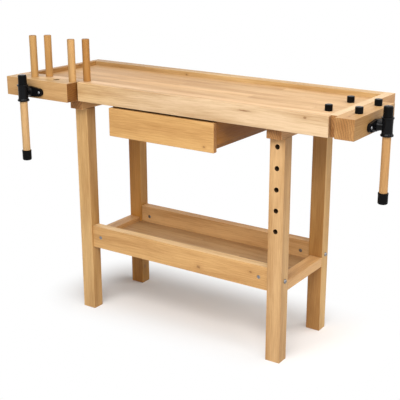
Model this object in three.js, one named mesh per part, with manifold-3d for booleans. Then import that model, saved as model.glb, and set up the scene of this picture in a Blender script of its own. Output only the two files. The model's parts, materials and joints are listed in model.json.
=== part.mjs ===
// A woodworking bench with a front vise, a tail vise, a drawer and a low shelf.
// Millimetres, +Z up. Pieces are laid out from the front left leg: X runs along the bench to the right,
// Y runs from the front to the back, Z is the height over the floor. The finished bench is then shifted
// so that its origin lies on the floor under the middle of its bounding box.

import * as THREE from "three";
import { mergeVertices } from "three/addons/utils/BufferGeometryUtils.js";
import Module from "manifold-3d";

const wasm = await Module();
wasm.setup();

// Fits
const GAP = 0.3;            // between pieces that touch
const RUNNING = 0.5;        // between pieces that slide on each other
const OVERSHOOT = 1;        // how far a cutter runs past the face it opens
const ROUND_SIDES = 20;

// Lower frame
const LEG_WIDTH = 52;
const LEG_DEPTH = 44;
const LEG_HEIGHT = 750;
const LEG_SPACING_X = 780;
const LEG_SPACING_Y = 286;
const BEARER_HEIGHT = 36;
const BEARER_FRONT = -24;
const BEARER_BACK = 378;
const TENON_SIZE = 24;
const TENON_LENGTH = 20;
const PEG_HOLE_RADIUS = 8;
const PEG_HOLE_DEPTH = 32;
const PEG_HOLE_TOP = 722;
const PEG_HOLE_PITCH = 68;
const PEG_HOLE_COUNT = 5;

// Shelf
const RAIL_BOTTOM = 242;
const RAIL_HEIGHT = 80;
const RAIL_THICKNESS = 32;
const END_RAIL_BOTTOM = 243;
const END_RAIL_HEIGHT = 33;
const END_RAIL_THICKNESS = 46;
const END_TENON_THICKNESS = 14;
const END_TENON_HEIGHT = 20;
const END_TENON_LENGTH = 18;
const SHELF_TOP = 260;
const SHELF_THICKNESS = 12;
const SHELF_TONGUE = 6;
const SHELF_GROOVE = 6;
const BOLT_RADIUS = 4;
const BOLT_HEAD_RADIUS = 7;
const BOLT_HEAD_HEIGHT = 5;
const BARREL_NUT_RADIUS = 6;
const BARREL_NUT_LENGTH = 24;
const BARREL_NUT_INSET = 35;
const BOLT_SPARE = 4;

// Top: a panel let in below a frame that is level with the jaws
const TOP_HEIGHT = 850;
const TOP_BOTTOM = 786;
const TRAY_DEPTH = 15;
const PANEL_THICKNESS = 15;
const PANEL_LEFT = -196;
const PANEL_RIGHT = 989;
const PANEL_BACK = 342;
const BEAM_FRONT = -37;
const BEAM_BACK = 3;
const APRON_FRONT = -54;
const APRON_LEFT = 61;
const APRON_RIGHT = 999;
const LEFT_RIM_THICKNESS = 25;
const BACK_RIM_THICKNESS = 43;
const TAIL_BOARD_THICKNESS = 30;

// Dog holes, pegs and dogs
const DOG_HOLE_RADIUS = 10.65;
const DOG_HOLE_DEPTH = 28;
const SHANK_RADIUS = 10.2;
const SHANK_LENGTH = 26;
const SHORT_SHANK_LENGTH = 14;
const PEG_RADIUS = 12.6;
const PEG_HEIGHT = 142;
const DOG_RADIUS = 12.1;
const DOG_HEIGHT = 20;
const EDGE_ROUND = 1.5;

// Vises
const JAW_THICKNESS = 61;
const JAW_CLEARANCE = 1;
const SCREW_HEIGHT = 810;
const SCREW_RADIUS = 8;
const SCREW_HOLE_RADIUS = 9.4;
const SCREW_TRAVEL = 120;
const SCREW_SPARE = 12;
const ROD_RADIUS = 6;
const ROD_HOLE_RADIUS = 6.5;
const ROD_SPREAD = 46;
const ROD_DROP = 4;
const ROD_INSET = 14;
const ROD_SPARE = 6;
const FLANGE_THICKNESS = 9;
const FLANGE_MIDDLE_RADIUS = 18;
const FLANGE_EAR_RADIUS = 13;
const FLANGE_EAR_SPREAD = 42;
const FLANGE_BEVEL = 2;
const NECK_RADIUS = 10;
const COLLAR_RADIUS = 13;
const COLLAR_LENGTH = 10;
const STUB_RADIUS = 14.5;
const TEE_REACH = 40;
const TEE_HALF_HEIGHT = 28;
const TEE_RADIUS = 16.5;
const TEE_TOP_RADIUS = 19;
const TEE_FOOT_RADIUS = 19.5;
const TEE_RIM = 5;
const TEE_FOOT_RIM = 10;
const HANDLE_RADIUS = 13;
const HANDLE_HOLE_RADIUS = 13.6;
const HANDLE_VISIBLE = 171;
const CAP_WALL = 4;
const TOP_CAP_RADIUS = 15;
const TOP_CAP_HEIGHT = 33;
const BOTTOM_CAP_RADIUS = 16;
const BOTTOM_CAP_HEIGHT = 35;
const CAP_ROUND = 3;
const NUT_PLATE_HALF_WIDTH = 55;
const NUT_PLATE_HEIGHT = 24;
const NUT_PLATE_DEPTH = 22;

// Drawer
const DRAWER_LEFT = 195;
const DRAWER_RIGHT = 611;
const DRAWER_BOTTOM = 684;
const DRAWER_TOP = 779;
const DRAWER_FRONT_THICKNESS = 18;
const DRAWER_BACK = 312;
const DRAWER_WALL = 12;
const DRAWER_SIDE_INSET = 12;
const DRAWER_BOX_BOTTOM = 690;
const DRAWER_BOX_TOP = 772;
const DRAWER_FLOOR_THICKNESS = 6;
const DRAWER_FLOOR_RISE = 4;
const DRAWER_FLOOR_GROOVE = 5;
const RUNNER_THICKNESS = 10;
const RUNNER_BOTTOM = 706;
const RUNNER_SETBACK = 2;
const TONGUE_BOTTOM = 722;
const TONGUE_HEIGHT = 10;
const TONGUE_DEPTH = 6;

// Derived places
const LEG_RIGHT = LEG_SPACING_X + LEG_WIDTH;
const BEARER_TOP = LEG_HEIGHT + BEARER_HEIGHT - GAP;
const PANEL_TOP = TOP_HEIGHT - TRAY_DEPTH;
const PANEL_BOTTOM = PANEL_TOP - PANEL_THICKNESS;
const RAIL_SETBACK = (LEG_DEPTH - RAIL_THICKNESS) / 2;
const BOLT_HEIGHT = RAIL_BOTTOM + RAIL_HEIGHT / 2;
const DOG_HOLE_FLOOR = TOP_HEIGHT - DOG_HOLE_DEPTH;
const RIM_LEFT = PANEL_LEFT - LEFT_RIM_THICKNESS;
const RIM_BACK = PANEL_BACK + BACK_RIM_THICKNESS;
const TAIL_FACE = PANEL_RIGHT + TAIL_BOARD_THICKNESS;

// Where the vises stand: the middle of each jaw's outer face, on the screw's axis. Jaw ends and dog holes
// are measured from there, along the jaw.
const FRONT_VISE = {
  name: "front",
  x: -105,
  y: BEAM_FRONT - JAW_CLEARANCE - JAW_THICKNESS,
  turn: 0,
  jawStart: -116,
  jawEnd: 162,
  jawBottom: 787,
  dogHoles: [-93, -26, 74, 146.5],
  dogHoleSetback: 46,
  fixedJawDepth: BEAM_BACK - BEAM_FRONT,
};
const TAIL_VISE = {
  name: "tail",
  x: TAIL_FACE + JAW_CLEARANCE + JAW_THICKNESS,
  y: 82,
  turn: Math.PI / 2,
  jawStart: -141,
  jawEnd: 148,
  jawBottom: 788,
  dogHoles: [-54, 84],
  dogHoleSetback: 27,
  fixedJawDepth: TAIL_BOARD_THICKNESS,
};

const BEAM_PEGS = [{ name: "beam_peg_left", x: -96 }, { name: "beam_peg_right", x: 75 }];
const BEAM_PEG_Y = -18;
const JAW_PEGS = [{ name: "jaw_peg_left", hole: 1 }, { name: "jaw_peg_right", hole: 3 }];
const WORKTOP_DOGS = [{ name: "worktop_dog_front", y: 78 }, { name: "worktop_dog_back", y: 233 }];
const WORKTOP_DOG_X = 933.5;
const JAW_DOGS = [{ name: "jaw_dog_front", hole: 0 }, { name: "jaw_dog_back", hole: 1 }];

// Finishes
function finish(color, roughness, metalness) {
  return new THREE.MeshStandardMaterial({ color, roughness, metalness });
}

const WOOD = finish(0xc48a54, 0.55, 0);
const PEG_WOOD = finish(0xd9a873, 0.6, 0);
const BLACK_METAL = finish(0x1b1b1d, 0.45, 0.6);
const BLACK_PLASTIC = finish(0x161617, 0.5, 0);
const ZINC = finish(0xb9bbbd, 0.35, 1);
const STEEL = finish(0x8c8e91, 0.35, 1);

const bench = new THREE.Group();

// Geometry helpers

function addPiece(parent, name, geometry, material) {
  const piece = new THREE.Mesh(geometry, material);
  piece.name = name;
  parent.add(piece);
  return piece;
}

function block([x0, x1], [y0, y1], [z0, z1]) {
  const geometry = new THREE.BoxGeometry(x1 - x0, y1 - y0, z1 - z0);
  return geometry.translate((x0 + x1) / 2, (y0 + y1) / 2, (z0 + z1) / 2);
}

// A round bar or drill from one height to another on a vertical axis
function uprightBar(radius, x, y, [z0, z1]) {
  const geometry = new THREE.CylinderGeometry(radius, radius, z1 - z0, ROUND_SIDES);
  return geometry.rotateX(Math.PI / 2).translate(x, y, (z0 + z1) / 2);
}

// The same, lying along Y
function barAlongY(radius, x, [y0, y1], z) {
  const geometry = new THREE.CylinderGeometry(radius, radius, y1 - y0, ROUND_SIDES);
  return geometry.translate(x, (y0 + y1) / 2, z);
}

// The same, lying along X
function barAlongX(radius, [x0, x1], y, z) {
  const geometry = new THREE.CylinderGeometry(radius, radius, x1 - x0, ROUND_SIDES);
  return geometry.rotateZ(Math.PI / 2).translate((x0 + x1) / 2, y, z);
}

// A turned shape: profile points are [radius, height] from the bottom of the axis to its top
function turned(profile) {
  const points = profile.map(([radius, height]) => new THREE.Vector2(radius, height));
  return new THREE.LatheGeometry(points, ROUND_SIDES).rotateX(Math.PI / 2);
}

function toSolid(geometry) {
  const bare = geometry.clone();
  bare.deleteAttribute("normal");
  bare.deleteAttribute("uv");
  const merged = mergeVertices(bare, 1e-4);
  const mesh = new wasm.Mesh({
    numProp: 3,
    vertProperties: new Float32Array(merged.attributes.position.array),
    triVerts: new Uint32Array(merged.index.array),
  });
  return new wasm.Manifold(mesh);
}

function toGeometry(solid) {
  const mesh = solid.getMesh();
  const geometry = new THREE.BufferGeometry();
  geometry.setAttribute("position", new THREE.BufferAttribute(new Float32Array(mesh.vertProperties), 3));
  geometry.setIndex(new THREE.BufferAttribute(new Uint32Array(mesh.triVerts), 1));
  geometry.computeVertexNormals();
  return geometry;
}

// Joins the parts, then takes the cutters away
function carve(parts, cutters = []) {
  let solid = toSolid(parts[0]);
  for (const part of parts.slice(1)) {
    solid = solid.add(toSolid(part));
  }
  for (const cutter of cutters) {
    solid = solid.subtract(toSolid(cutter));
  }
  return toGeometry(solid);
}

const LEGS = [
  { name: "front_left", x: 0, y: 0 },
  { name: "front_right", x: LEG_SPACING_X, y: 0 },
  { name: "back_left", x: 0, y: LEG_SPACING_Y },
  { name: "back_right", x: LEG_SPACING_X, y: LEG_SPACING_Y },
];

// Legs, with a tenon up into the bearer, a mortise for the end rail and a hole for the frame bolt

function tenonBlock(leg, slack) {
  const middleX = leg.x + LEG_WIDTH / 2;
  const middleY = leg.y + LEG_DEPTH / 2;
  const half = TENON_SIZE / 2 + slack;
  return block(
    [middleX - half, middleX + half],
    [middleY - half, middleY + half],
    [LEG_HEIGHT - OVERSHOOT, LEG_HEIGHT + TENON_LENGTH + slack],
  );
}

// The end rail's two tenons are one bar, longer than the rail
function endTenonBar(legX, slack) {
  const outer = legX === 0 ? 0 : LEG_RIGHT - END_RAIL_THICKNESS;
  const middleX = outer + END_RAIL_THICKNESS / 2;
  const halfWidth = END_TENON_THICKNESS / 2 + slack;
  const halfHeight = END_TENON_HEIGHT / 2 + slack;
  const middleZ = END_RAIL_BOTTOM + END_RAIL_HEIGHT / 2;
  const reach = END_TENON_LENGTH + slack;
  return block(
    [middleX - halfWidth, middleX + halfWidth],
    [LEG_DEPTH - reach, LEG_SPACING_Y + reach],
    [middleZ - halfHeight, middleZ + halfHeight],
  );
}

function makeLegs() {
  for (const leg of LEGS) {
    const body = block(
      [leg.x, leg.x + LEG_WIDTH],
      [leg.y, leg.y + LEG_DEPTH],
      [0, LEG_HEIGHT - GAP],
    );
    const boltSpan = [leg.x - OVERSHOOT, leg.x + LEG_WIDTH + OVERSHOOT];
    const cutters = [
      endTenonBar(leg.x, GAP),
      barAlongX(BOLT_RADIUS + GAP, boltSpan, leg.y + LEG_DEPTH / 2, BOLT_HEIGHT),
    ];
    if (leg.name === "front_right") {
      for (let row = 0; row < PEG_HOLE_COUNT; row += 1) {
        const height = PEG_HOLE_TOP - row * PEG_HOLE_PITCH;
        const drill = [-OVERSHOOT, PEG_HOLE_DEPTH];
        cutters.push(barAlongY(PEG_HOLE_RADIUS, leg.x + LEG_WIDTH / 2, drill, height));
      }
    }
    addPiece(bench, `${leg.name}_leg`, carve([body, tenonBlock(leg, 0)], cutters), WOOD);
  }
}

// Bearers: the ends run under the beam and the back rim, the middle rises to the worktop panel

function makeBearers() {
  for (const [name, x] of [["left_bearer", 0], ["right_bearer", LEG_SPACING_X]]) {
    const across = [x, x + LEG_WIDTH];
    const bar = block(across, [BEARER_FRONT, BEARER_BACK], [LEG_HEIGHT, BEARER_TOP]);
    const rise = block(across, [BEAM_BACK + GAP, PANEL_BACK - GAP], [LEG_HEIGHT, PANEL_BOTTOM - GAP]);
    const mortises = LEGS.filter((leg) => leg.x === x).map((leg) => tenonBlock(leg, GAP));
    addPiece(bench, name, carve([bar, rise], mortises), WOOD);
  }
}

// Shelf: rails between the legs, grooved for the panel, held by bolts into barrel nuts

function makeShelf() {
  const railSpan = [LEG_WIDTH + GAP, LEG_SPACING_X - GAP];
  const railRise = [RAIL_BOTTOM, RAIL_BOTTOM + RAIL_HEIGHT];
  const shelfRise = [SHELF_TOP - SHELF_THICKNESS, SHELF_TOP];
  const tongueRise = [shelfRise[0], shelfRise[0] + SHELF_TONGUE];
  const grooveRise = [tongueRise[0] - GAP, tongueRise[1] + GAP];
  const nutPlaces = [LEG_WIDTH + BARREL_NUT_INSET, LEG_SPACING_X - BARREL_NUT_INSET];
  const sides = [
    { name: "front", front: RAIL_SETBACK, inner: RAIL_SETBACK + RAIL_THICKNESS, inward: -1 },
    { name: "back", front: LEG_SPACING_Y + RAIL_SETBACK, inner: LEG_SPACING_Y + RAIL_SETBACK, inward: 1 },
  ];

  for (const side of sides) {
    const middle = side.front + RAIL_THICKNESS / 2;
    const body = block(railSpan, [side.front, side.front + RAIL_THICKNESS], railRise);
    const grooveDepth = side.inner + side.inward * (SHELF_GROOVE + GAP);
    const grooveMouth = side.inner - side.inward * OVERSHOOT;
    const groove = block(
      [railSpan[0] - OVERSHOOT, railSpan[1] + OVERSHOOT],
      [Math.min(grooveDepth, grooveMouth), Math.max(grooveDepth, grooveMouth)],
      grooveRise,
    );
    const boltReach = BARREL_NUT_INSET + BARREL_NUT_RADIUS + BOLT_SPARE;
    const leftDrill = [railSpan[0] - OVERSHOOT, LEG_WIDTH + boltReach];
    const rightDrill = [LEG_SPACING_X - boltReach, railSpan[1] + OVERSHOOT];
    const cutters = [
      groove,
      barAlongX(BOLT_RADIUS + GAP, leftDrill, middle, BOLT_HEIGHT),
      barAlongX(BOLT_RADIUS + GAP, rightDrill, middle, BOLT_HEIGHT),
    ];
    const nutSpan = [side.front + GAP, side.front + GAP + BARREL_NUT_LENGTH];
    const nutDrill = [side.front - OVERSHOOT, nutSpan[1] + GAP];
    for (const x of nutPlaces) {
      cutters.push(barAlongY(BARREL_NUT_RADIUS + GAP, x, nutDrill, BOLT_HEIGHT));
    }
    addPiece(bench, `${side.name}_shelf_rail`, carve([body], cutters), WOOD);

    for (const [end, x] of [["left", nutPlaces[0]], ["right", nutPlaces[1]]]) {
      const nut = barAlongY(BARREL_NUT_RADIUS, x, nutSpan, BOLT_HEIGHT);
      const threadSpan = [x - BARREL_NUT_RADIUS - OVERSHOOT, x + BARREL_NUT_RADIUS + OVERSHOOT];
      const thread = barAlongX(BOLT_RADIUS + GAP, threadSpan, middle, BOLT_HEIGHT);
      addPiece(bench, `barrel_nut_${side.name}_${end}`, carve([nut], [thread]), ZINC);
    }
  }

  const shelfEnds = [END_RAIL_THICKNESS + GAP, LEG_RIGHT - END_RAIL_THICKNESS - GAP];
  const frontFace = RAIL_SETBACK + RAIL_THICKNESS;
  const backFace = LEG_SPACING_Y + RAIL_SETBACK;
  const shelf = block(shelfEnds, [frontFace + GAP, backFace - GAP], shelfRise);
  const tongue = block(shelfEnds, [frontFace - SHELF_GROOVE, backFace + SHELF_GROOVE], tongueRise);
  const notches = LEGS.map((leg) => block(
    [leg.x - GAP, leg.x + LEG_WIDTH + GAP],
    [leg.y - GAP, leg.y + LEG_DEPTH + GAP],
    [shelfRise[0] - OVERSHOOT, shelfRise[1] + OVERSHOOT],
  ));
  addPiece(bench, "shelf_panel", carve([shelf, tongue], notches), WOOD);

  for (const [name, x] of [["left_end_rail", 0], ["right_end_rail", LEG_RIGHT - END_RAIL_THICKNESS]]) {
    const rail = block(
      [x, x + END_RAIL_THICKNESS],
      [LEG_DEPTH + GAP, LEG_SPACING_Y - GAP],
      [END_RAIL_BOTTOM, END_RAIL_BOTTOM + END_RAIL_HEIGHT],
    );
    addPiece(bench, name, carve([rail, endTenonBar(x === 0 ? 0 : LEG_SPACING_X, 0)]), WOOD);
  }
}

// Frame bolts: a round head on the leg's outer face, a shank through the leg into the barrel nut

function makeFrameBolts() {
  const shankEnd = LEG_WIDTH + BARREL_NUT_INSET + BARREL_NUT_RADIUS;
  for (const leg of LEGS) {
    const y = leg.y + LEG_DEPTH / 2;
    const onLeft = leg.x === 0;
    const headSpan = onLeft
      ? [-GAP - BOLT_HEAD_HEIGHT, -GAP]
      : [LEG_RIGHT + GAP, LEG_RIGHT + GAP + BOLT_HEAD_HEIGHT];
    const shankSpan = onLeft
      ? [-OVERSHOOT, shankEnd]
      : [LEG_RIGHT - shankEnd, LEG_RIGHT + OVERSHOOT];
    const head = barAlongX(BOLT_HEAD_RADIUS, headSpan, y, BOLT_HEIGHT);
    const shank = barAlongX(BOLT_RADIUS, shankSpan, y, BOLT_HEIGHT);
    addPiece(bench, `frame_bolt_${leg.name}`, carve([head, shank]), ZINC);
  }
}

// Top: panel, beam, apron, rims and the tail end board

function viseDrills(vise, depthSpan) {
  const rodHeight = SCREW_HEIGHT - ROD_DROP;
  if (vise.turn === 0) {
    return [
      barAlongY(SCREW_HOLE_RADIUS, vise.x, depthSpan, SCREW_HEIGHT),
      barAlongY(ROD_HOLE_RADIUS, vise.x - ROD_SPREAD, depthSpan, rodHeight),
      barAlongY(ROD_HOLE_RADIUS, vise.x + ROD_SPREAD, depthSpan, rodHeight),
    ];
  }
  return [
    barAlongX(SCREW_HOLE_RADIUS, depthSpan, vise.y, SCREW_HEIGHT),
    barAlongX(ROD_HOLE_RADIUS, depthSpan, vise.y - ROD_SPREAD, rodHeight),
    barAlongX(ROD_HOLE_RADIUS, depthSpan, vise.y + ROD_SPREAD, rodHeight),
  ];
}

function makeTop() {
  const span = [PANEL_LEFT + GAP, PANEL_RIGHT - GAP];
  const rise = [TOP_BOTTOM, TOP_HEIGHT];

  const panel = block(span, [BEAM_BACK + GAP, PANEL_BACK - GAP], [PANEL_BOTTOM, PANEL_TOP]);
  const panelHoles = WORKTOP_DOGS.map((dog) =>
    uprightBar(DOG_HOLE_RADIUS, WORKTOP_DOG_X, dog.y, [PANEL_BOTTOM - OVERSHOOT, PANEL_TOP + OVERSHOOT]));
  addPiece(bench, "worktop_panel", carve([panel], panelHoles), WOOD);

  const beam = block([RIM_LEFT, PANEL_RIGHT - GAP], [BEAM_FRONT, BEAM_BACK], rise);
  const beamHoles = BEAM_PEGS.map((peg) =>
    uprightBar(DOG_HOLE_RADIUS, peg.x, BEAM_PEG_Y, [DOG_HOLE_FLOOR, TOP_HEIGHT + OVERSHOOT]));
  const beamDrills = viseDrills(FRONT_VISE, [BEAM_FRONT - OVERSHOOT, BEAM_BACK + OVERSHOOT]);
  addPiece(bench, "front_beam", carve([beam], [...beamHoles, ...beamDrills]), WOOD);

  addPiece(bench, "apron", block([APRON_LEFT, APRON_RIGHT], [APRON_FRONT, BEAM_FRONT - GAP], rise), WOOD);
  const leftRim = block([RIM_LEFT, PANEL_LEFT], [BEAM_BACK + GAP, PANEL_BACK - GAP], rise);
  addPiece(bench, "left_rim", leftRim, WOOD);
  const backRim = block([RIM_LEFT, PANEL_RIGHT - GAP], [PANEL_BACK, RIM_BACK], rise);
  addPiece(bench, "back_rim", backRim, WOOD);

  const tailBoard = block([PANEL_RIGHT, TAIL_FACE], [BEAM_FRONT, RIM_BACK], rise);
  const tailDrills = viseDrills(TAIL_VISE, [PANEL_RIGHT - OVERSHOOT, TAIL_FACE + OVERSHOOT]);
  addPiece(bench, "tail_end_board", carve([tailBoard], tailDrills), WOOD);
}

// Vises: drawn with the jaw opening along -Y and the screw's axis through the origin, which lies on the
// jaw's outer face, then turned into place

function flangeGeometry() {
  const lean = Math.asin((FLANGE_MIDDLE_RADIUS - FLANGE_EAR_RADIUS) / FLANGE_EAR_SPREAD);
  const quarter = Math.PI / 2;
  const ear = FLANGE_EAR_RADIUS - FLANGE_BEVEL;
  const middle = FLANGE_MIDDLE_RADIUS - FLANGE_BEVEL;
  const outline = new THREE.Shape();
  outline.absarc(FLANGE_EAR_SPREAD, 0, ear, lean - quarter, quarter - lean, false);
  outline.absarc(0, 0, middle, quarter - lean, quarter + lean, false);
  outline.absarc(-FLANGE_EAR_SPREAD, 0, ear, quarter + lean, 3 * quarter - lean, false);
  outline.absarc(0, 0, middle, 3 * quarter - lean, 3 * quarter + lean, false);
  const plate = new THREE.ExtrudeGeometry(outline, {
    depth: FLANGE_THICKNESS - 2 * FLANGE_BEVEL,
    bevelThickness: FLANGE_BEVEL,
    bevelSize: FLANGE_BEVEL,
    bevelSegments: 1,
    curveSegments: 6,
  });
  // The outline is drawn upright, and the plate's thickness runs out from the jaw
  plate.rotateX(Math.PI / 2).translate(0, -GAP - FLANGE_BEVEL, 0);
  return carve([plate], [barAlongY(NECK_RADIUS + RUNNING, 0, [-2 * FLANGE_THICKNESS, OVERSHOOT], 0)]);
}

function screwGeometry(fixedJawDepth) {
  const nutEnd = JAW_THICKNESS + JAW_CLEARANCE + fixedJawDepth + NUT_PLATE_DEPTH;
  const threadEnd = nutEnd + SCREW_TRAVEL + SCREW_SPARE;
  const flangeFace = -FLANGE_THICKNESS - 2 * GAP;
  const tee = turned([
    [0, -TEE_HALF_HEIGHT],
    [TEE_FOOT_RADIUS, -TEE_HALF_HEIGHT],
    [TEE_FOOT_RADIUS, -TEE_HALF_HEIGHT + TEE_RIM],
    [TEE_RADIUS, -TEE_HALF_HEIGHT + TEE_FOOT_RIM],
    [TEE_RADIUS, TEE_HALF_HEIGHT - TEE_RIM],
    [TEE_TOP_RADIUS, TEE_HALF_HEIGHT - TEE_RIM],
    [TEE_TOP_RADIUS, TEE_HALF_HEIGHT],
    [0, TEE_HALF_HEIGHT],
  ]).translate(0, -TEE_REACH, 0);
  const stub = barAlongY(STUB_RADIUS, 0, [-TEE_REACH, flangeFace], 0);
  const neck = barAlongY(NECK_RADIUS, 0, [flangeFace - OVERSHOOT, COLLAR_LENGTH], 0);
  const collar = barAlongY(COLLAR_RADIUS, 0, [RUNNING, COLLAR_LENGTH], 0);
  const thread = barAlongY(SCREW_RADIUS, 0, [COLLAR_LENGTH - OVERSHOOT, threadEnd], 0);
  const handleDrill = [-TEE_HALF_HEIGHT - OVERSHOOT, TEE_HALF_HEIGHT + OVERSHOOT];
  const handleHole = uprightBar(HANDLE_HOLE_RADIUS, 0, -TEE_REACH, handleDrill);
  return carve([tee, stub, neck, collar, thread], [handleHole]);
}

// A cap is a cup: its bore takes the end of the handle bar
function capGeometry(radius, height) {
  const bore = HANDLE_RADIUS + GAP;
  return turned([
    [0, height - CAP_WALL],
    [bore, height - CAP_WALL],
    [bore, 0],
    [radius, 0],
    [radius, height - CAP_ROUND],
    [radius - CAP_ROUND, height],
    [0, height],
  ]);
}

function makeVise(vise) {
  const frame = new THREE.Group();
  frame.position.set(vise.x, vise.y, SCREW_HEIGHT);
  frame.rotation.z = vise.turn;
  bench.add(frame);

  const jaw = block(
    [vise.jawStart, vise.jawEnd],
    [0, JAW_THICKNESS],
    [vise.jawBottom - SCREW_HEIGHT, TOP_HEIGHT - SCREW_HEIGHT],
  );
  const jawCutters = [
    barAlongY(SCREW_HOLE_RADIUS, 0, [-OVERSHOOT, JAW_THICKNESS + OVERSHOOT], 0),
    barAlongY(COLLAR_RADIUS + RUNNING, 0, [-OVERSHOOT, COLLAR_LENGTH + RUNNING], 0),
  ];
  for (const x of [-ROD_SPREAD, ROD_SPREAD]) {
    const socket = [ROD_INSET, JAW_THICKNESS + OVERSHOOT];
    jawCutters.push(barAlongY(ROD_RADIUS + GAP, x, socket, -ROD_DROP));
  }
  for (const x of vise.dogHoles) {
    const mouth = TOP_HEIGHT - SCREW_HEIGHT + OVERSHOOT;
    jawCutters.push(
      uprightBar(DOG_HOLE_RADIUS, x, vise.dogHoleSetback, [DOG_HOLE_FLOOR - SCREW_HEIGHT, mouth]));
  }
  addPiece(frame, `${vise.name}_jaw`, carve([jaw], jawCutters), WOOD);

  const nutFace = JAW_THICKNESS + JAW_CLEARANCE + vise.fixedJawDepth + GAP;
  const nutBack = nutFace + NUT_PLATE_DEPTH;
  const rodEnd = nutBack + SCREW_TRAVEL + ROD_SPARE;
  for (const [side, x] of [["left", -ROD_SPREAD], ["right", ROD_SPREAD]]) {
    const rod = barAlongY(ROD_RADIUS, x, [ROD_INSET + GAP, rodEnd], -ROD_DROP);
    addPiece(frame, `${vise.name}_guide_rod_${side}`, rod, STEEL);
  }

  addPiece(frame, `${vise.name}_flange`, flangeGeometry(), BLACK_METAL);
  addPiece(frame, `${vise.name}_screw`, screwGeometry(vise.fixedJawDepth), BLACK_METAL);

  const plateTop = PANEL_BOTTOM - GAP - SCREW_HEIGHT;
  const plate = block(
    [-NUT_PLATE_HALF_WIDTH, NUT_PLATE_HALF_WIDTH],
    [nutFace, nutBack],
    [plateTop - NUT_PLATE_HEIGHT, plateTop],
  );
  const boreSpan = [nutFace - OVERSHOOT, nutBack + OVERSHOOT];
  const plateBores = [barAlongY(SCREW_RADIUS + RUNNING, 0, boreSpan, 0)];
  for (const x of [-ROD_SPREAD, ROD_SPREAD]) {
    plateBores.push(barAlongY(ROD_HOLE_RADIUS, x, boreSpan, -ROD_DROP));
  }
  addPiece(frame, `${vise.name}_nut_plate`, carve([plate], plateBores), BLACK_METAL);

  // The handle hangs with its top cap on the tee
  const topCapFoot = TEE_HALF_HEIGHT + GAP;
  const bottomCapMouth = -TEE_HALF_HEIGHT - HANDLE_VISIBLE;
  const barSpan = [
    bottomCapMouth - BOTTOM_CAP_HEIGHT + CAP_WALL + GAP,
    topCapFoot + TOP_CAP_HEIGHT - CAP_WALL - GAP,
  ];
  addPiece(frame, `${vise.name}_handle`, uprightBar(HANDLE_RADIUS, 0, -TEE_REACH, barSpan), PEG_WOOD);
  const topCap = addPiece(
    frame, `${vise.name}_handle_top_cap`, capGeometry(TOP_CAP_RADIUS, TOP_CAP_HEIGHT), BLACK_PLASTIC);
  topCap.position.set(0, -TEE_REACH, topCapFoot);
  const bottomCap = addPiece(
    frame,
    `${vise.name}_handle_bottom_cap`,
    capGeometry(BOTTOM_CAP_RADIUS, BOTTOM_CAP_HEIGHT),
    BLACK_PLASTIC,
  );
  bottomCap.position.set(0, -TEE_REACH, bottomCapMouth);
  bottomCap.rotation.x = Math.PI;
  return frame;
}

// Drawer: the sides are grooved for the floor and for the runners' tongues

function makeDrawer() {
  const front = APRON_FRONT;
  const boxFront = front + DRAWER_FRONT_THICKNESS + GAP;
  const left = DRAWER_LEFT + DRAWER_SIDE_INSET;
  const right = DRAWER_RIGHT - DRAWER_SIDE_INSET;
  const boxRise = [DRAWER_BOX_BOTTOM, DRAWER_BOX_TOP];
  const floorBottom = DRAWER_BOX_BOTTOM + DRAWER_FLOOR_RISE;
  const floorTop = floorBottom + DRAWER_FLOOR_THICKNESS;
  const backFace = DRAWER_BACK - DRAWER_WALL;

  addPiece(
    bench,
    "drawer_front",
    block([DRAWER_LEFT, DRAWER_RIGHT], [front, front + DRAWER_FRONT_THICKNESS], [DRAWER_BOTTOM, DRAWER_TOP]),
    WOOD,
  );

  const sides = [
    { name: "left", outer: left, inner: left + DRAWER_WALL, inward: 1 },
    { name: "right", outer: right, inner: right - DRAWER_WALL, inward: -1 },
  ];
  for (const side of sides) {
    const wall = block(
      [Math.min(side.outer, side.inner), Math.max(side.outer, side.inner)],
      [boxFront, DRAWER_BACK],
      boxRise,
    );
    const floorReach = side.inner - side.inward * (DRAWER_FLOOR_GROOVE + GAP);
    const floorMouth = side.inner + side.inward * OVERSHOOT;
    const floorGroove = block(
      [Math.min(floorReach, floorMouth), Math.max(floorReach, floorMouth)],
      [boxFront - OVERSHOOT, backFace],
      [floorBottom - GAP, floorTop + GAP],
    );
    const tongueReach = side.outer + side.inward * (TONGUE_DEPTH + RUNNING);
    const tongueMouth = side.outer - side.inward * OVERSHOOT;
    const tongueGroove = block(
      [Math.min(tongueReach, tongueMouth), Math.max(tongueReach, tongueMouth)],
      [boxFront - OVERSHOOT, DRAWER_BACK + OVERSHOOT],
      [TONGUE_BOTTOM - RUNNING, TONGUE_BOTTOM + TONGUE_HEIGHT + RUNNING],
    );
    addPiece(bench, `drawer_${side.name}_side`, carve([wall], [floorGroove, tongueGroove]), WOOD);
  }

  const between = [left + DRAWER_WALL + GAP, right - DRAWER_WALL - GAP];
  addPiece(bench, "drawer_back", block(between, [backFace, DRAWER_BACK], boxRise), WOOD);
  addPiece(
    bench,
    "drawer_floor",
    block(
      [between[0] - DRAWER_FLOOR_GROOVE, between[1] + DRAWER_FLOOR_GROOVE],
      [boxFront, backFace - GAP],
      [floorBottom, floorTop],
    ),
    WOOD,
  );
}

// Runners: boards hung from the worktop panel, each with a tongue in the drawer side's groove

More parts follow.
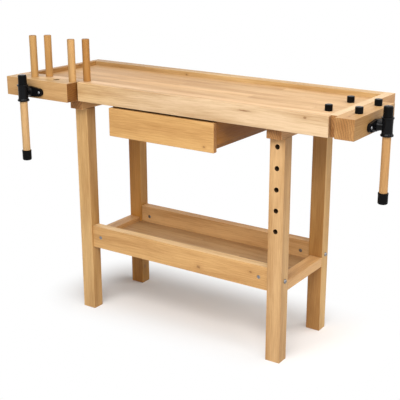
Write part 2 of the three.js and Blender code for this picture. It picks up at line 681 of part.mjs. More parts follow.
function makeRunners() {
  const front = APRON_FRONT + DRAWER_FRONT_THICKNESS + RUNNER_SETBACK;
  const left = DRAWER_LEFT + DRAWER_SIDE_INSET;
  const right = DRAWER_RIGHT - DRAWER_SIDE_INSET;
  const sides = [
    { name: "left", face: left - RUNNING, outward: -1 },
    { name: "right", face: right + RUNNING, outward: 1 },
  ];
  for (const side of sides) {
    const outer = side.face + side.outward * RUNNER_THICKNESS;
    const tongueTip = side.face - side.outward * TONGUE_DEPTH;
    const thickness = [Math.min(side.face, outer), Math.max(side.face, outer)];
    const rear = block(thickness, [BEAM_BACK + GAP, PANEL_BACK - GAP], [RUNNER_BOTTOM, PANEL_BOTTOM - GAP]);
    const lip = block(thickness, [front, BEAM_BACK + OVERSHOOT], [RUNNER_BOTTOM, TOP_BOTTOM - GAP]);
    const tongue = block(
      [Math.min(tongueTip, outer), Math.max(tongueTip, outer)],
      [front, PANEL_BACK - GAP],
      [TONGUE_BOTTOM, TONGUE_BOTTOM + TONGUE_HEIGHT],
    );
    addPiece(bench, `drawer_runner_${side.name}`, carve([rear, lip, tongue]), WOOD);
  }
}

// Pegs and dogs: a turned head over a shank that drops into a dog hole

function studGeometry(radius, height, shankLength) {
  return turned([
    [0, -shankLength],
    [SHANK_RADIUS, -shankLength],
    [SHANK_RADIUS, GAP],
    [radius, GAP],
    [radius, height - EDGE_ROUND],
    [radius - EDGE_ROUND, height],
    [0, height],
  ]);
}

function makePegsAndDogs(frontVise, tailVise) {
  const peg = studGeometry(PEG_RADIUS, PEG_HEIGHT, SHANK_LENGTH);
  const dog = studGeometry(DOG_RADIUS, DOG_HEIGHT, SHANK_LENGTH);
  const shortDog = studGeometry(DOG_RADIUS, DOG_HEIGHT, SHORT_SHANK_LENGTH);
  const jawTop = TOP_HEIGHT - SCREW_HEIGHT;
  for (const { name, x } of BEAM_PEGS) {
    addPiece(bench, name, peg, PEG_WOOD).position.set(x, BEAM_PEG_Y, TOP_HEIGHT);
  }
  for (const { name, hole } of JAW_PEGS) {
    const place = [FRONT_VISE.dogHoles[hole], FRONT_VISE.dogHoleSetback, jawTop];
    addPiece(frontVise, name, peg, PEG_WOOD).position.set(...place);
  }
  for (const { name, y } of WORKTOP_DOGS) {
    addPiece(bench, name, shortDog, BLACK_PLASTIC).position.set(WORKTOP_DOG_X, y, PANEL_TOP);
  }
  for (const { name, hole } of JAW_DOGS) {
    const place = [TAIL_VISE.dogHoles[hole], TAIL_VISE.dogHoleSetback, jawTop];
    addPiece(tailVise, name, dog, BLACK_PLASTIC).position.set(...place);
  }
}

makeLegs();
makeBearers();
makeShelf();
makeFrameBolts();
makeTop();
makePegsAndDogs(makeVise(FRONT_VISE), makeVise(TAIL_VISE));
makeDrawer();
makeRunners();

const bounds = new THREE.Box3().setFromObject(bench, true);
const middle = bounds.getCenter(new THREE.Vector3());
bench.position.set(-middle.x, -middle.y, -bounds.min.z);

export default bench;
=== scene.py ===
"""The woodworking bench, dressed: eased and drilled boards, turned pegs, cast vise fittings, wood and metal."""

import json
import math

import bpy
from bpy.props import FloatProperty, FloatVectorProperty, IntProperty, PointerProperty
from mathutils import Matrix, Vector


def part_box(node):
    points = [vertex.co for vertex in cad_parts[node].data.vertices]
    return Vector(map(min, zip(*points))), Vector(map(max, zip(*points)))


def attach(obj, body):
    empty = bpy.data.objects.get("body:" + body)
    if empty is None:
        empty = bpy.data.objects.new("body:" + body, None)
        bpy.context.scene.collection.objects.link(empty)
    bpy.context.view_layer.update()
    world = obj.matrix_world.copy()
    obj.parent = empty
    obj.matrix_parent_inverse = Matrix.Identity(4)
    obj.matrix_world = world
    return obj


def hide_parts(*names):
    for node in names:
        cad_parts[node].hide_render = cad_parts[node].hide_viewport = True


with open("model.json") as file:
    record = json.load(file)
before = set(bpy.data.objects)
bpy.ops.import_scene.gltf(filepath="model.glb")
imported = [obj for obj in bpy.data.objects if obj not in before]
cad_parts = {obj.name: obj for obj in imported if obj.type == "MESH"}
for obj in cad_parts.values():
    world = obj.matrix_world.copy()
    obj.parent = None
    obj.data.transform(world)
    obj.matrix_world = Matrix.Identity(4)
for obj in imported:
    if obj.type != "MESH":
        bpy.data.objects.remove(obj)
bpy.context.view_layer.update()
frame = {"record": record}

bl_info = {
    "name": "Woodworking Bench",
    "version": (1, 0, 0),
    "blender": (4, 5, 0),
    "location": "3D View > Sidebar > Bench",
    "description": "Models and finishes a woodworking bench with two vises over its plain solids",
    "category": "Object",
}

RECORD = frame["record"]
BODY_OF = {node: body for body, nodes in RECORD["behaviour"]["bodies"].items() for node in nodes}
SLOT_OF = {row["node"]: row["material_slot"] for row in RECORD["subparts"]}
OPENINGS = {row["name"]: row["box_m"] for row in RECORD["physics"]["openings"]}

MM = 0.001
AXES = "XYZ"
ENDS = ("front_left", "front_right", "back_left", "back_right")
VISES = ("front", "tail")
PEGS = ("jaw_peg_left", "jaw_peg_right", "beam_peg_left", "beam_peg_right")
DOGS = ("worktop_dog_front", "worktop_dog_back", "jaw_dog_front", "jaw_dog_back")

# Sizes that the bench's makers would call out, in metres
DOG_HOLE = 10.65 * MM
SCREW_HOLE = 9.4 * MM
ROD_HOLE = 6.5 * MM
NUT_HOLE = 6.3 * MM
BOLT_HOLE = 4.3 * MM
PEG_HOLE = 8 * MM
PEG_HOLE_DEPTH = 32 * MM
TOP_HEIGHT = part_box("front_beam")[1].z
PANEL_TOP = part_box("worktop_panel")[1].z
DOG_HOLE_FLOOR = TOP_HEIGHT - 28 * MM
OVERSHOOT = 2 * MM

# The strip of floor under the bench that keeps its full shadow, and how far the shadow takes to fade beyond it
SHADE_FROM = (-0.46, 0.03, 0)
SHADE_TO = (0.4, 0.17, 0)
SHADE_REACH = 0.26


class WorkbenchWood(bpy.types.PropertyGroup):
    """Sizes and colours of the wooden pieces."""

    pale: FloatVectorProperty(
        name="Pale Wood", description="Colour of the early wood", subtype="COLOR", size=3,
        default=(0.62, 0.365, 0.155), min=0, max=1)
    deep: FloatVectorProperty(
        name="Deep Wood", description="Colour of the late wood and the fibres", subtype="COLOR", size=3,
        default=(0.41, 0.205, 0.068), min=0, max=1)
    turned: FloatVectorProperty(
        name="Turned Wood", description="Pale colour of the pegs and the vise handles", subtype="COLOR", size=3,
        default=(0.565, 0.312, 0.108), min=0, max=1)
    edge: FloatProperty(
        name="Eased Edge", description="Rounding of the boards' edges", unit="LENGTH", default=1.6 * MM, min=0)
    thin_edge: FloatProperty(
        name="Thin Edge", description="Rounding of thin boards' edges", unit="LENGTH", default=1.0 * MM, min=0)


class WorkbenchMetal(bpy.types.PropertyGroup):
    """Sizes and colours of the vise fittings and the fasteners."""

    black: FloatVectorProperty(
        name="Black Paint", description="Colour of the cast vise fittings", subtype="COLOR", size=3,
        default=(0.0032, 0.0032, 0.0035), min=0, max=1)
    plastic: FloatVectorProperty(
        name="Black Plastic", description="Colour of the handle caps and the dogs", subtype="COLOR", size=3,
        default=(0.003, 0.003, 0.003), min=0, max=1)
    zinc: FloatVectorProperty(
        name="Zinc", description="Colour of the plated bolts and nuts", subtype="COLOR", size=3,
        default=(0.30, 0.30, 0.31), min=0, max=1)
    steel: FloatVectorProperty(
        name="Steel", description="Colour of the guide rods and the threads", subtype="COLOR", size=3,
        default=(0.50, 0.50, 0.51), min=0, max=1)
    pitch: FloatProperty(
        name="Thread Pitch", description="Rise of the vise screws in one turn", unit="LENGTH", default=6 * MM)
    sides: IntProperty(
        name="Round Sides", description="Sides of a turned piece", default=56, min=12)


class WorkbenchStage(bpy.types.PropertyGroup):
    """Floor, lamps and camera."""

    floor: FloatVectorProperty(
        name="Floor", description="Colour of the floor", subtype="COLOR", size=3, default=(0.88, 0.86, 0.84),
        min=0, max=1)
    key: FloatProperty(name="Key Lamp", description="Power of the front right lamp", unit="POWER", default=100)
    front: FloatProperty(name="Front Lamp", description="Power of the front lamp", unit="POWER", default=92)
    overhead: FloatProperty(name="Overhead Lamp", description="Power of the top lamp", unit="POWER", default=34)
    back: FloatProperty(name="Back Lamp", description="Power of the back right lamp", unit="POWER", default=30)
    fill: FloatProperty(name="Fill Lamp", description="Power of the back left lamp", unit="POWER", default=9)
    side: FloatProperty(name="Side Lamp", description="Power of the right lamp", unit="POWER", default=33)
    sky: FloatProperty(name="Room Light", description="Strength of the light from all round", default=0.04)
    lens: FloatProperty(name="Lens", description="Focal length in millimetres", unit="CAMERA", default=78.765)
    eye: FloatVectorProperty(
        name="Eye", description="Place of the camera", subtype="TRANSLATION", size=3,
        default=(1.59592, -2.35765, 1.3676))
    yaw: FloatProperty(name="Yaw", description="Turn to the left", subtype="ANGLE", default=math.radians(31.86))
    pitch: FloatProperty(name="Pitch", description="Tilt upwards", subtype="ANGLE", default=math.radians(-17.62))
    roll: FloatProperty(name="Roll", description="Lean to the right", subtype="ANGLE", default=math.radians(0.62))
    shift: FloatProperty(name="Shift", description="Sideways shift of the frame", default=-0.09)


# Modelling by hand


def only(piece):
    """Select one object and make it the active one."""
    bpy.ops.object.select_all(action="DESELECT")
    piece.select_set(True)
    bpy.context.view_layer.objects.active = piece


def settle(piece, placement=None):
    """Put a piece in its place, and its place in its mesh."""
    if placement is not None:
        piece.matrix_world = placement
    only(piece)
    bpy.ops.object.transform_apply(location=True, rotation=True, scale=True)
    return piece


def block(name, low, high):
    """A squared block between two corners."""
    bpy.ops.object.select_all(action="DESELECT")
    bpy.ops.mesh.primitive_cube_add(size=1)
    piece = bpy.context.object
    piece.name = name
    piece.data.name = name
    piece.scale = Vector(high) - Vector(low)
    piece.location = (Vector(low) + Vector(high)) / 2
    return settle(piece)


def bit(axis, centre, radius, span, sides=40):
    """A drill bit that lies along an axis, between two places on it."""
    place = Vector(centre)
    place["XYZ".index(axis)] = (span[0] + span[1]) / 2
    turn = {"X": (0, math.pi / 2, 0), "Y": (math.pi / 2, 0, 0), "Z": (0, 0, 0)}[axis]
    bpy.ops.object.select_all(action="DESELECT")
    bpy.ops.mesh.primitive_cylinder_add(
        vertices=sides, radius=radius, depth=span[1] - span[0], location=place, rotation=turn)
    return settle(bpy.context.object)


def work(piece, tools, operation="DIFFERENCE"):
    """Cut a piece with tools, or join them to it, and throw the tools away."""
    for tool in tools:
        only(piece)
        bpy.ops.object.modifier_add(type="BOOLEAN")
        modifier = piece.modifiers[-1]
        modifier.operation = operation
        modifier.solver = "EXACT"
        modifier.material_mode = "TRANSFER"
        modifier.object = tool
        bpy.ops.object.modifier_apply(modifier=modifier.name)
        mesh = tool.data
        bpy.data.objects.remove(tool)
        bpy.data.meshes.remove(mesh)
    return piece


def ease(piece, width, segments=3, angle=35):
    """Round the sharp edges and keep the flats flat."""
    only(piece)
    bpy.ops.object.modifier_add(type="BEVEL")
    modifier = piece.modifiers[-1]
    modifier.width = width
    modifier.segments = segments
    modifier.limit_method = "ANGLE"
    modifier.angle_limit = math.radians(angle)
    bpy.ops.object.modifier_apply(modifier=modifier.name)
    return smooth(piece)


def smooth(piece, angle=42):
    """Shade the round faces smoothly and weight the normals towards the large faces."""
    only(piece)
    bpy.ops.object.shade_smooth_by_angle(angle=math.radians(angle))
    bpy.ops.object.modifier_add(type="WEIGHTED_NORMAL")
    modifier = piece.modifiers[-1]
    modifier.keep_sharp = True
    bpy.ops.object.modifier_apply(modifier=modifier.name)
    return piece


def turn(name, profile, sides):
    """Turn a shape about the Z axis from (radius, height) pairs, starting at its foot."""
    radius, height = profile[0]
    bpy.ops.object.select_all(action="DESELECT")
    bpy.ops.mesh.primitive_circle_add(vertices=sides, radius=radius, fill_type="NGON", location=(0, 0, height))
    piece = settle(bpy.context.object)
    piece.name = name
    piece.data.name = name
    bpy.ops.object.mode_set(mode="EDIT")
    bpy.ops.mesh.select_mode(type="FACE")
    bpy.ops.mesh.select_all(action="SELECT")
    for next_radius, next_height in profile[1:]:
        bpy.ops.mesh.extrude_region_move(TRANSFORM_OT_translate={"value": (0, 0, next_height - height)})
        scale = next_radius / radius
        bpy.ops.transform.resize(value=(scale, scale, 1), center_override=(0, 0, next_height))
        radius, height = next_radius, next_height
    bpy.ops.mesh.select_all(action="SELECT")
    bpy.ops.mesh.normals_make_consistent(inside=False)
    bpy.ops.object.mode_set(mode="OBJECT")
    return piece


def copy_of(piece, name):
    """A second piece off the same drawing, with a mesh of its own."""
    only(piece)
    bpy.ops.object.duplicate(linked=False)
    copy = bpy.context.object
    copy.name = name
    copy.data.name = name
    return copy


def hand_over(piece, node, material=None, slot=None, stands_for=True):
    """Give a piece its finish, unless it has one, and let it move with the body of a node."""
    if material:
        piece.data.materials.clear()
        piece.data.materials.append(material)
    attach(piece, BODY_OF[node])
    slot or SLOT_OF[node]
    if stands_for:
        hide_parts(node)


def longest_axis(node):
    low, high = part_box(node)
    size = high - low
    return AXES[max(range(3), key=lambda axis: size[axis])]


def middle(node):
    low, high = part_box(node)
    return (low + high) / 2


def vise_placement(vise):
    """Where a vise stands: the origin is on the jaw's outer face, on the screw's axis, and -Y is outwards."""
    centre = middle(vise + "_screw")
    height = middle(vise + "_flange").z
    if vise == "front":
        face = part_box("front_jaw")[0].y
        return Matrix.Translation((centre.x, face, height))
    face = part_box("tail_jaw")[1].x
    return Matrix.Translation((face, centre.y, height)) @ Matrix.Rotation(math.pi / 2, 4, "Z")


# Materials


class Wiring:
    """A hand for wiring one node tree."""

    def __init__(self, tree):
        self.tree = tree

    def node(self, kind, **settings):
        made = self.tree.nodes.new(kind)
        for setting, value in settings.items():
            setattr(made, setting, value)
        return made

    def feed(self, socket, value):
        if isinstance(value, bpy.types.NodeSocket):
            self.tree.links.new(value, socket)
        else:
            socket.default_value = value

    def math(self, operation, *values, clamp=False):
        made = self.node("ShaderNodeMath", operation=operation, use_clamp=clamp)
        for socket, value in zip(made.inputs, values):
            self.feed(socket, value)
        return made.outputs[0]

    def vector(self, operation, *values):
        made = self.node("ShaderNodeVectorMath", operation=operation)
        for socket, value in zip(made.inputs, values):
            self.feed(socket, value)
        number = operation in ("LENGTH", "DOT_PRODUCT", "DISTANCE")
        return made.outputs["Value" if number else "Vector"]

    def split(self, vector):
        made = self.node("ShaderNodeSeparateXYZ")
        self.feed(made.inputs[0], vector)
        return made.outputs

    def join(self, x, y, z):
        made = self.node("ShaderNodeCombineXYZ")
        for socket, value in zip(made.inputs, (x, y, z)):
            self.feed(socket, value)
        return made.outputs[0]

    def noise(self, vector, scale=1.0, detail=2.0, roughness=0.5):
        made = self.node("ShaderNodeTexNoise")
        self.feed(made.inputs["Vector"], vector)
        made.inputs["Scale"].default_value = scale
        made.inputs["Detail"].default_value = detail
        made.inputs["Roughness"].default_value = roughness
        return made.outputs[0]

    def white_noise(self, vector):
        made = self.node("ShaderNodeTexWhiteNoise", noise_dimensions="3D")
        self.feed(made.inputs["Vector"], vector)
        return made.outputs["Value"]

    def ramp(self, value, low, high, out_low=0.0, out_high=1.0, soft=True):
        made = self.node("ShaderNodeMapRange", interpolation_type="SMOOTHSTEP" if soft else "LINEAR")
        for socket, number in zip(made.inputs, (value, low, high, out_low, out_high)):
            self.feed(socket, number)
        return made.outputs[0]

    def mix(self, factor, first, second, blend="MIX"):
        made = self.node("ShaderNodeMix", data_type="RGBA", blend_type=blend)
        self.feed(made.inputs[0], factor)
        self.feed(made.inputs[6], first)
        self.feed(made.inputs[7], second)
        return made.outputs[2]

    def group(self, tree, **values):
        made = self.node("ShaderNodeGroup", node_tree=tree)
        for name, value in values.items():
            self.feed(made.inputs[name.replace("_", " ")], value)
        return made.outputs

    def bump(self, height, strength, distance):
        made = self.node("ShaderNodeBump")
        made.inputs["Strength"].default_value = strength
        made.inputs["Distance"].default_value = distance
        self.feed(made.inputs["Height"], height)
        return made.outputs[0]


def new_group(name, inputs, outputs):
    """A shader node group with named sockets; each is (name, kind)."""
    kinds = {"vector": "NodeSocketVector", "value": "NodeSocketFloat", "colour": "NodeSocketColor"}
    tree = bpy.data.node_groups.new(name, "ShaderNodeTree")
    for socket, kind in inputs:
        tree.interface.new_socket(socket, in_out="INPUT", socket_type=kinds[kind])
    for socket, kind in outputs:
        tree.interface.new_socket(socket, in_out="OUTPUT", socket_type=kinds[kind])
    wiring = Wiring(tree)
    return tree, wiring, wiring.node("NodeGroupInput").outputs, wiring.node("NodeGroupOutput").inputs


def grain_group():
    """Wood grain that runs along X: growth rings, fibres and pores."""
    name = "Wood Grain"
    if name in bpy.data.node_groups:
        return bpy.data.node_groups[name]
    tree, w, given, out = new_group(
        name,
        [("Vector", "vector"), ("Seed", "value"), ("Pale", "colour"), ("Deep", "colour")],
        [("Color", "colour"), ("Roughness", "value"), ("Height", "value")])
    shift = w.join(w.math("MULTIPLY", given["Seed"], 1.37), w.math("MULTIPLY", given["Seed"], 0.731),
                   w.math("MULTIPLY", given["Seed"], 0.413))
    place = w.vector("ADD", given["Vector"], shift)
    drift = w.noise(w.vector("MULTIPLY", place, (1.6, 7.0, 7.0)), detail=2.0)
    cloud = w.noise(w.vector("MULTIPLY", place, (2.4, 26.0, 26.0)), detail=3.0)
    sway = w.noise(w.vector("MULTIPLY", place, (5.0, 30.0, 30.0)), detail=1.0)
    parts = w.split(place)
    depth = w.math("ADD", w.math("MULTIPLY", parts["Y"], 0.55), w.math("MULTIPLY", parts["Z"], 0.83))
    rings = w.math("ADD", w.math("MULTIPLY", depth, 150.0), w.math("MULTIPLY", drift, 9.0))
    rings = w.math("ADD", rings, w.math("MULTIPLY", sway, 1.2))
    late = w.math("POWER", w.math("FRACT", rings), 2.2)
    fibre = w.noise(w.vector("MULTIPLY", place, (16.0, 620.0, 620.0)), detail=3.0, roughness=0.6)
    pores = w.ramp(w.noise(w.vector("MULTIPLY", place, (55.0, 1500.0, 1500.0)), detail=1.0), 0.60, 0.74)
    tone = w.math("ADD", w.math("MULTIPLY", w.ramp(cloud, 0.30, 0.72), 0.52), w.math("MULTIPLY", late, 0.14))
    tone = w.math("ADD", tone, w.math("MULTIPLY", w.ramp(fibre, 0.32, 0.68), 0.30))
    tone = w.math("ADD", tone, w.math("MULTIPLY", pores, 0.22))
    tone = w.math("MULTIPLY_ADD", tone, 1.5, -0.24, clamp=True)
    w.feed(out["Color"], w.mix(tone, given["Pale"], given["Deep"]))
    w.feed(out["Roughness"], w.ramp(fibre, 0.2, 0.8, 0.44, 0.60))
    height = w.math("SUBTRACT", w.math("MULTIPLY", fibre, 0.7), w.math("MULTIPLY", pores, 0.5))
    w.feed(out["Height"], w.math("ADD", height, w.math("MULTIPLY", late, 0.25)))
    return tree


def stave_group():
    """Staves glued side by side along X: each has its own number and tone, with a fine joint between."""
    name = "Glued Staves"
    if name in bpy.data.node_groups:
        return bpy.data.node_groups[name]
    tree, w, given, out = new_group(
        name, [("Vector", "vector"), ("Width", "value"), ("Length", "value")],
        [("Number", "value"), ("Tone", "value"), ("Joint", "value")])
    parts = w.split(given["Vector"])
    across = w.math("DIVIDE", parts["Y"], given["Width"])
    row = w.math("FLOOR", across)
    stagger = w.math("MULTIPLY", w.white_noise(w.join(row, 3.0, 7.0)), 5.0)
    along = w.math("ADD", w.math("DIVIDE", parts["X"], given["Length"]), stagger)
    column = w.math("FLOOR", along)
    number = w.white_noise(w.join(row, column, 1.0))
    w.feed(out["Number"], number)
    w.feed(out["Tone"], w.white_noise(w.join(column, row, 5.0)))
    seam = w.math("MULTIPLY", w.math("PINGPONG", across, 0.5), given["Width"])
    butt = w.math("MULTIPLY", w.math("PINGPONG", along, 0.5), given["Length"])
    w.feed(out["Joint"], w.ramp(w.math("MINIMUM", seam, butt), 0.0002, 0.0007, 1.0, 0.0))
    return tree


def knot_group():
    """One knot: a dark core and a halo of bent grain, by its place and reach."""
    name = "Wood Knot"
    if name in bpy.data.node_groups:
        return bpy.data.node_groups[name]
    tree, w, given, out = new_group(
        name, [("Vector", "vector"), ("Centre", "vector"), ("Reach", "vector")],
        [("Core", "value"), ("Halo", "value")])
    offset = w.vector("DIVIDE", w.vector("SUBTRACT", given["Vector"], given["Centre"]), given["Reach"])
    ragged = w.math("MULTIPLY", w.math("SUBTRACT", w.noise(given["Vector"], scale=160.0, detail=3.0), 0.5), 0.9)
    distance = w.math("ADD", w.vector("LENGTH", offset), ragged)
    w.feed(out["Core"], w.ramp(distance, 0.25, 0.95, 1.0, 0.0))
    w.feed(out["Halo"], w.ramp(distance, 0.6, 2.6, 1.0, 0.0))
    return tree


def speckle_group():
    """Fine cast or moulded roughness, with a slow drift over it."""
    name = "Fine Speckle"
    if name in bpy.data.node_groups:
        return bpy.data.node_groups[name]
    tree, w, given, out = new_group(
        name, [("Vector", "vector"), ("Size", "value")], [("Speckle", "value"), ("Drift", "value")])
    spread = w.vector("SCALE", given["Vector"])
    w.feed(spread.node.inputs["Scale"], w.math("DIVIDE", 1.0, given["Size"]))
    w.feed(out["Speckle"], w.noise(spread, detail=3.0, roughness=0.6))
    w.feed(out["Drift"], w.noise(given["Vector"], scale=38.0, detail=2.0))
    return tree


def ring_group():
    """End grain: growth rings about a heart beside the board, with pores between them."""
    name = "End Grain"
    if name in bpy.data.node_groups:
        return bpy.data.node_groups[name]
    tree, w, given, out = new_group(name, [("Vector", "vector"), ("Seed", "value")], [("Tone", "value")])
    place = w.split(given["Vector"])
    bend = w.math("MULTIPLY", w.noise(given["Vector"], scale=22.0, detail=2.0), 0.02)
    heart = w.math("MULTIPLY", w.math("SINE", given["Seed"]), 0.25)
    across = w.join(0.0, w.math("ADD", place["Y"], heart), w.math("SUBTRACT", place["Z"], 0.62))
    distance = w.math("ADD", w.vector("LENGTH", across), bend)
    rings = w.math("MULTIPLY_ADD", w.math("SINE", w.math("MULTIPLY", distance, 840.0)), 0.5, 0.5)
    pores = w.noise(given["Vector"], scale=420.0, detail=3.0, roughness=0.7)
    w.feed(out["Tone"], w.math("ADD", w.math("MULTIPLY", rings, 0.55), w.math("MULTIPLY", pores, 0.45)))
    return tree


def new_material(name):
    material = bpy.data.materials.new(name)
    material.use_nodes = True
    wiring = Wiring(material.node_tree)
    shader = material.node_tree.nodes["Principled BSDF"]
    return material, wiring, shader


GRAIN_TURN = {"X": (0, 0, 0), "Y": (0, 0, -math.pi / 2), "Z": (0, math.pi / 2, 0)}
GRAIN_AXIS = {"X": (1, 0, 0), "Y": (0, 1, 0), "Z": (0, 0, 1)}


def board_material(name, along, seed, tint_and_shade=(1, 1, 1), staves=None, knots=(), end=(0.58, 0.47, 0.36), top=None,
                   right=None, fade=None, turned=False):
    """Oiled wood with its grain along one axis; staves are (width, length), knots are (centre, reach).

    The colour is multiplied by end on end grain, which is darker; on an end that lies in a shadowed gap it is
    painted shade too. It is multiplied by top where a face looks up and by right where a face looks to the
    right: painted light and shade on those faces, by how the light falls. A fade is painted shade over the
    board's left end: (where it starts, where it ends, the colour's factor).
    """
    wood = bpy.context.scene.workbench_wood
    material, w, shader = new_material(name)
    place = w.node("ShaderNodeTexCoord").outputs
    mapping = w.node("ShaderNodeMapping")
    mapping.inputs["Rotation"].default_value = GRAIN_TURN[along]
    w.feed(mapping.inputs["Vector"], place["Object"])
    vector = mapping.outputs[0]
    pale = wood.turned if turned else wood.pale
    deep = [channel * 0.72 for channel in wood.turned] if turned else wood.deep
    # Painted shade: on boards that stand in shadow, the tint darkens the wood's own tone.
    pale = [channel * tinge for channel, tinge in zip(pale, tint_and_shade)] + [1]
    deep = [channel * tinge for channel, tinge in zip(deep, tint_and_shade)] + [1]
    number = seed
    if staves:
        made = w.group(stave_group(), Vector=vector, Width=staves[0], Length=staves[1])
        number = w.math("ADD", w.math("MULTIPLY", made["Number"], 17.0), seed)
    grain = w.group(grain_group(), Vector=vector, Seed=number, Pale=pale, Deep=deep)
    colour = grain["Color"]
    height = grain["Height"]
    if staves:
        lift = w.ramp(made["Tone"], 0.0, 1.0, 0.90, 1.09, soft=False)
        colour = w.mix(1.0, colour, w.join(lift, w.math("POWER", lift, 1.15), w.math("POWER", lift, 1.3)), "MULTIPLY")
        colour = w.mix(w.math("MULTIPLY", made["Joint"], 0.35), colour, [channel * 0.5 for channel in deep[:3]] + [1])
    for centre, reach in knots:
        knot = w.group(knot_group(), Vector=place["Object"], Centre=centre, Reach=reach)
        colour = w.mix(w.math("MULTIPLY", knot["Halo"], 0.42), colour, deep)
        colour = w.mix(w.math("MULTIPLY", knot["Core"], 0.75), colour, (0.20, 0.085, 0.028, 1))
    # End grain is darker by the end factor; on the front jaw's end, which lies in a gap, the factor is painted shade
    # as well.
    facing = w.math("ABSOLUTE", w.vector("DOT_PRODUCT", place["Normal"], GRAIN_AXIS[along]))
    rings = w.group(ring_group(), Vector=vector, Seed=seed)
    tone = w.ramp(rings["Tone"], 0.15, 0.8, 0.82, 1.17)
    sawn = w.mix(1.0, w.mix(1.0, colour, list(end) + [1], "MULTIPLY"), w.join(tone, tone, tone), "MULTIPLY")
    colour = w.mix(w.ramp(facing, 0.6, 0.85), colour, sawn)
    # Painted shade: a fade darkens the board's left end, where less light falls.
    if fade:
        left = w.ramp(w.split(place["Object"])["X"], fade[0], fade[1], 1.0, 0.0)
        colour = w.mix(left, colour, w.mix(1.0, colour, list(fade[2]) + [1], "MULTIPLY"))
    # Painted light and shade: faces that look up or to the right get their own factor, by how the light falls on
    # them.
    for axis, factor in (("Z", top), ("X", right)):
        if factor:
            toward = w.ramp(w.split(place["Normal"])[axis], 0.5, 0.9)
            colour = w.mix(toward, colour, w.mix(1.0, colour, list(factor) + [1], "MULTIPLY"))
    w.feed(shader.inputs["Base Color"], colour)
    w.feed(shader.inputs["Roughness"], grain["Roughness"])
    w.feed(shader.inputs["Normal"], w.bump(height, 0.25, 0.0004))
    shader.inputs["Specular IOR Level"].default_value = 0.35
    return material


def dark_material(name, colour, low, high, shine, speckle, depth):
    """Black paint or plastic: a fine speckle, and gloss that drifts over it."""
    if name in bpy.data.materials:
        return bpy.data.materials[name]
    material, w, shader = new_material(name)
    place = w.node("ShaderNodeTexCoord").outputs["Object"]
    made = w.group(speckle_group(), Vector=place, Size=speckle)
    base = list(colour) + [1]
    lighter = [channel * 1.9 for channel in colour] + [1]
    w.feed(shader.inputs["Base Color"], w.mix(w.ramp(made["Speckle"], 0.35, 0.7), base, lighter))
    w.feed(shader.inputs["Roughness"], w.ramp(made["Drift"], 0.3, 0.7, low, high))
    w.feed(shader.inputs["Normal"], w.bump(made["Speckle"], 0.35, depth))
    shader.inputs["Specular IOR Level"].default_value = shine
    return material


def metal_material(name, colour, low, high):
    """Plated or drawn metal, with fine scratches and dull spots."""
    if name in bpy.data.materials:
        return bpy.data.materials[name]
    material, w, shader = new_material(name)
    place = w.node("ShaderNodeTexCoord").outputs["Object"]
    made = w.group(speckle_group(), Vector=place, Size=0.0011)
    base = list(colour) + [1]
    dull = [channel * 0.72 for channel in colour] + [1]
    w.feed(shader.inputs["Base Color"], w.mix(w.ramp(made["Drift"], 0.35, 0.7), base, dull))
    w.feed(shader.inputs["Roughness"], w.ramp(made["Speckle"], 0.3, 0.7, low, high))
    w.feed(shader.inputs["Normal"], w.bump(made["Speckle"], 0.12, 0.0001))
    shader.inputs["Metallic"].default_value = 1.0
    return material


def black_paint():
    return dark_material("black_paint", bpy.context.scene.workbench_metal.black, 0.13, 0.2, 0.1, 0.0012, 0.0001)


def black_plastic():
    colour = bpy.context.scene.workbench_metal.plastic
    return dark_material("moulded_plastic", colour, 0.15, 0.22, 0.05, 0.0007, 0.00003)


def bored_wood():
    # Painted shade: the hole's wall is coloured nearly black for the shade down the hole.
    return dark_material("bored_wood", (0.040, 0.022, 0.010), 0.7, 0.9, 0.1, 0.0015, 0.0002)


def zinc_plate():
    return metal_material("zinc_plate", bpy.context.scene.workbench_metal.zinc, 0.28, 0.46)


def drawn_steel():
    return metal_material("drawn_steel", bpy.context.scene.workbench_metal.steel, 0.22, 0.36)
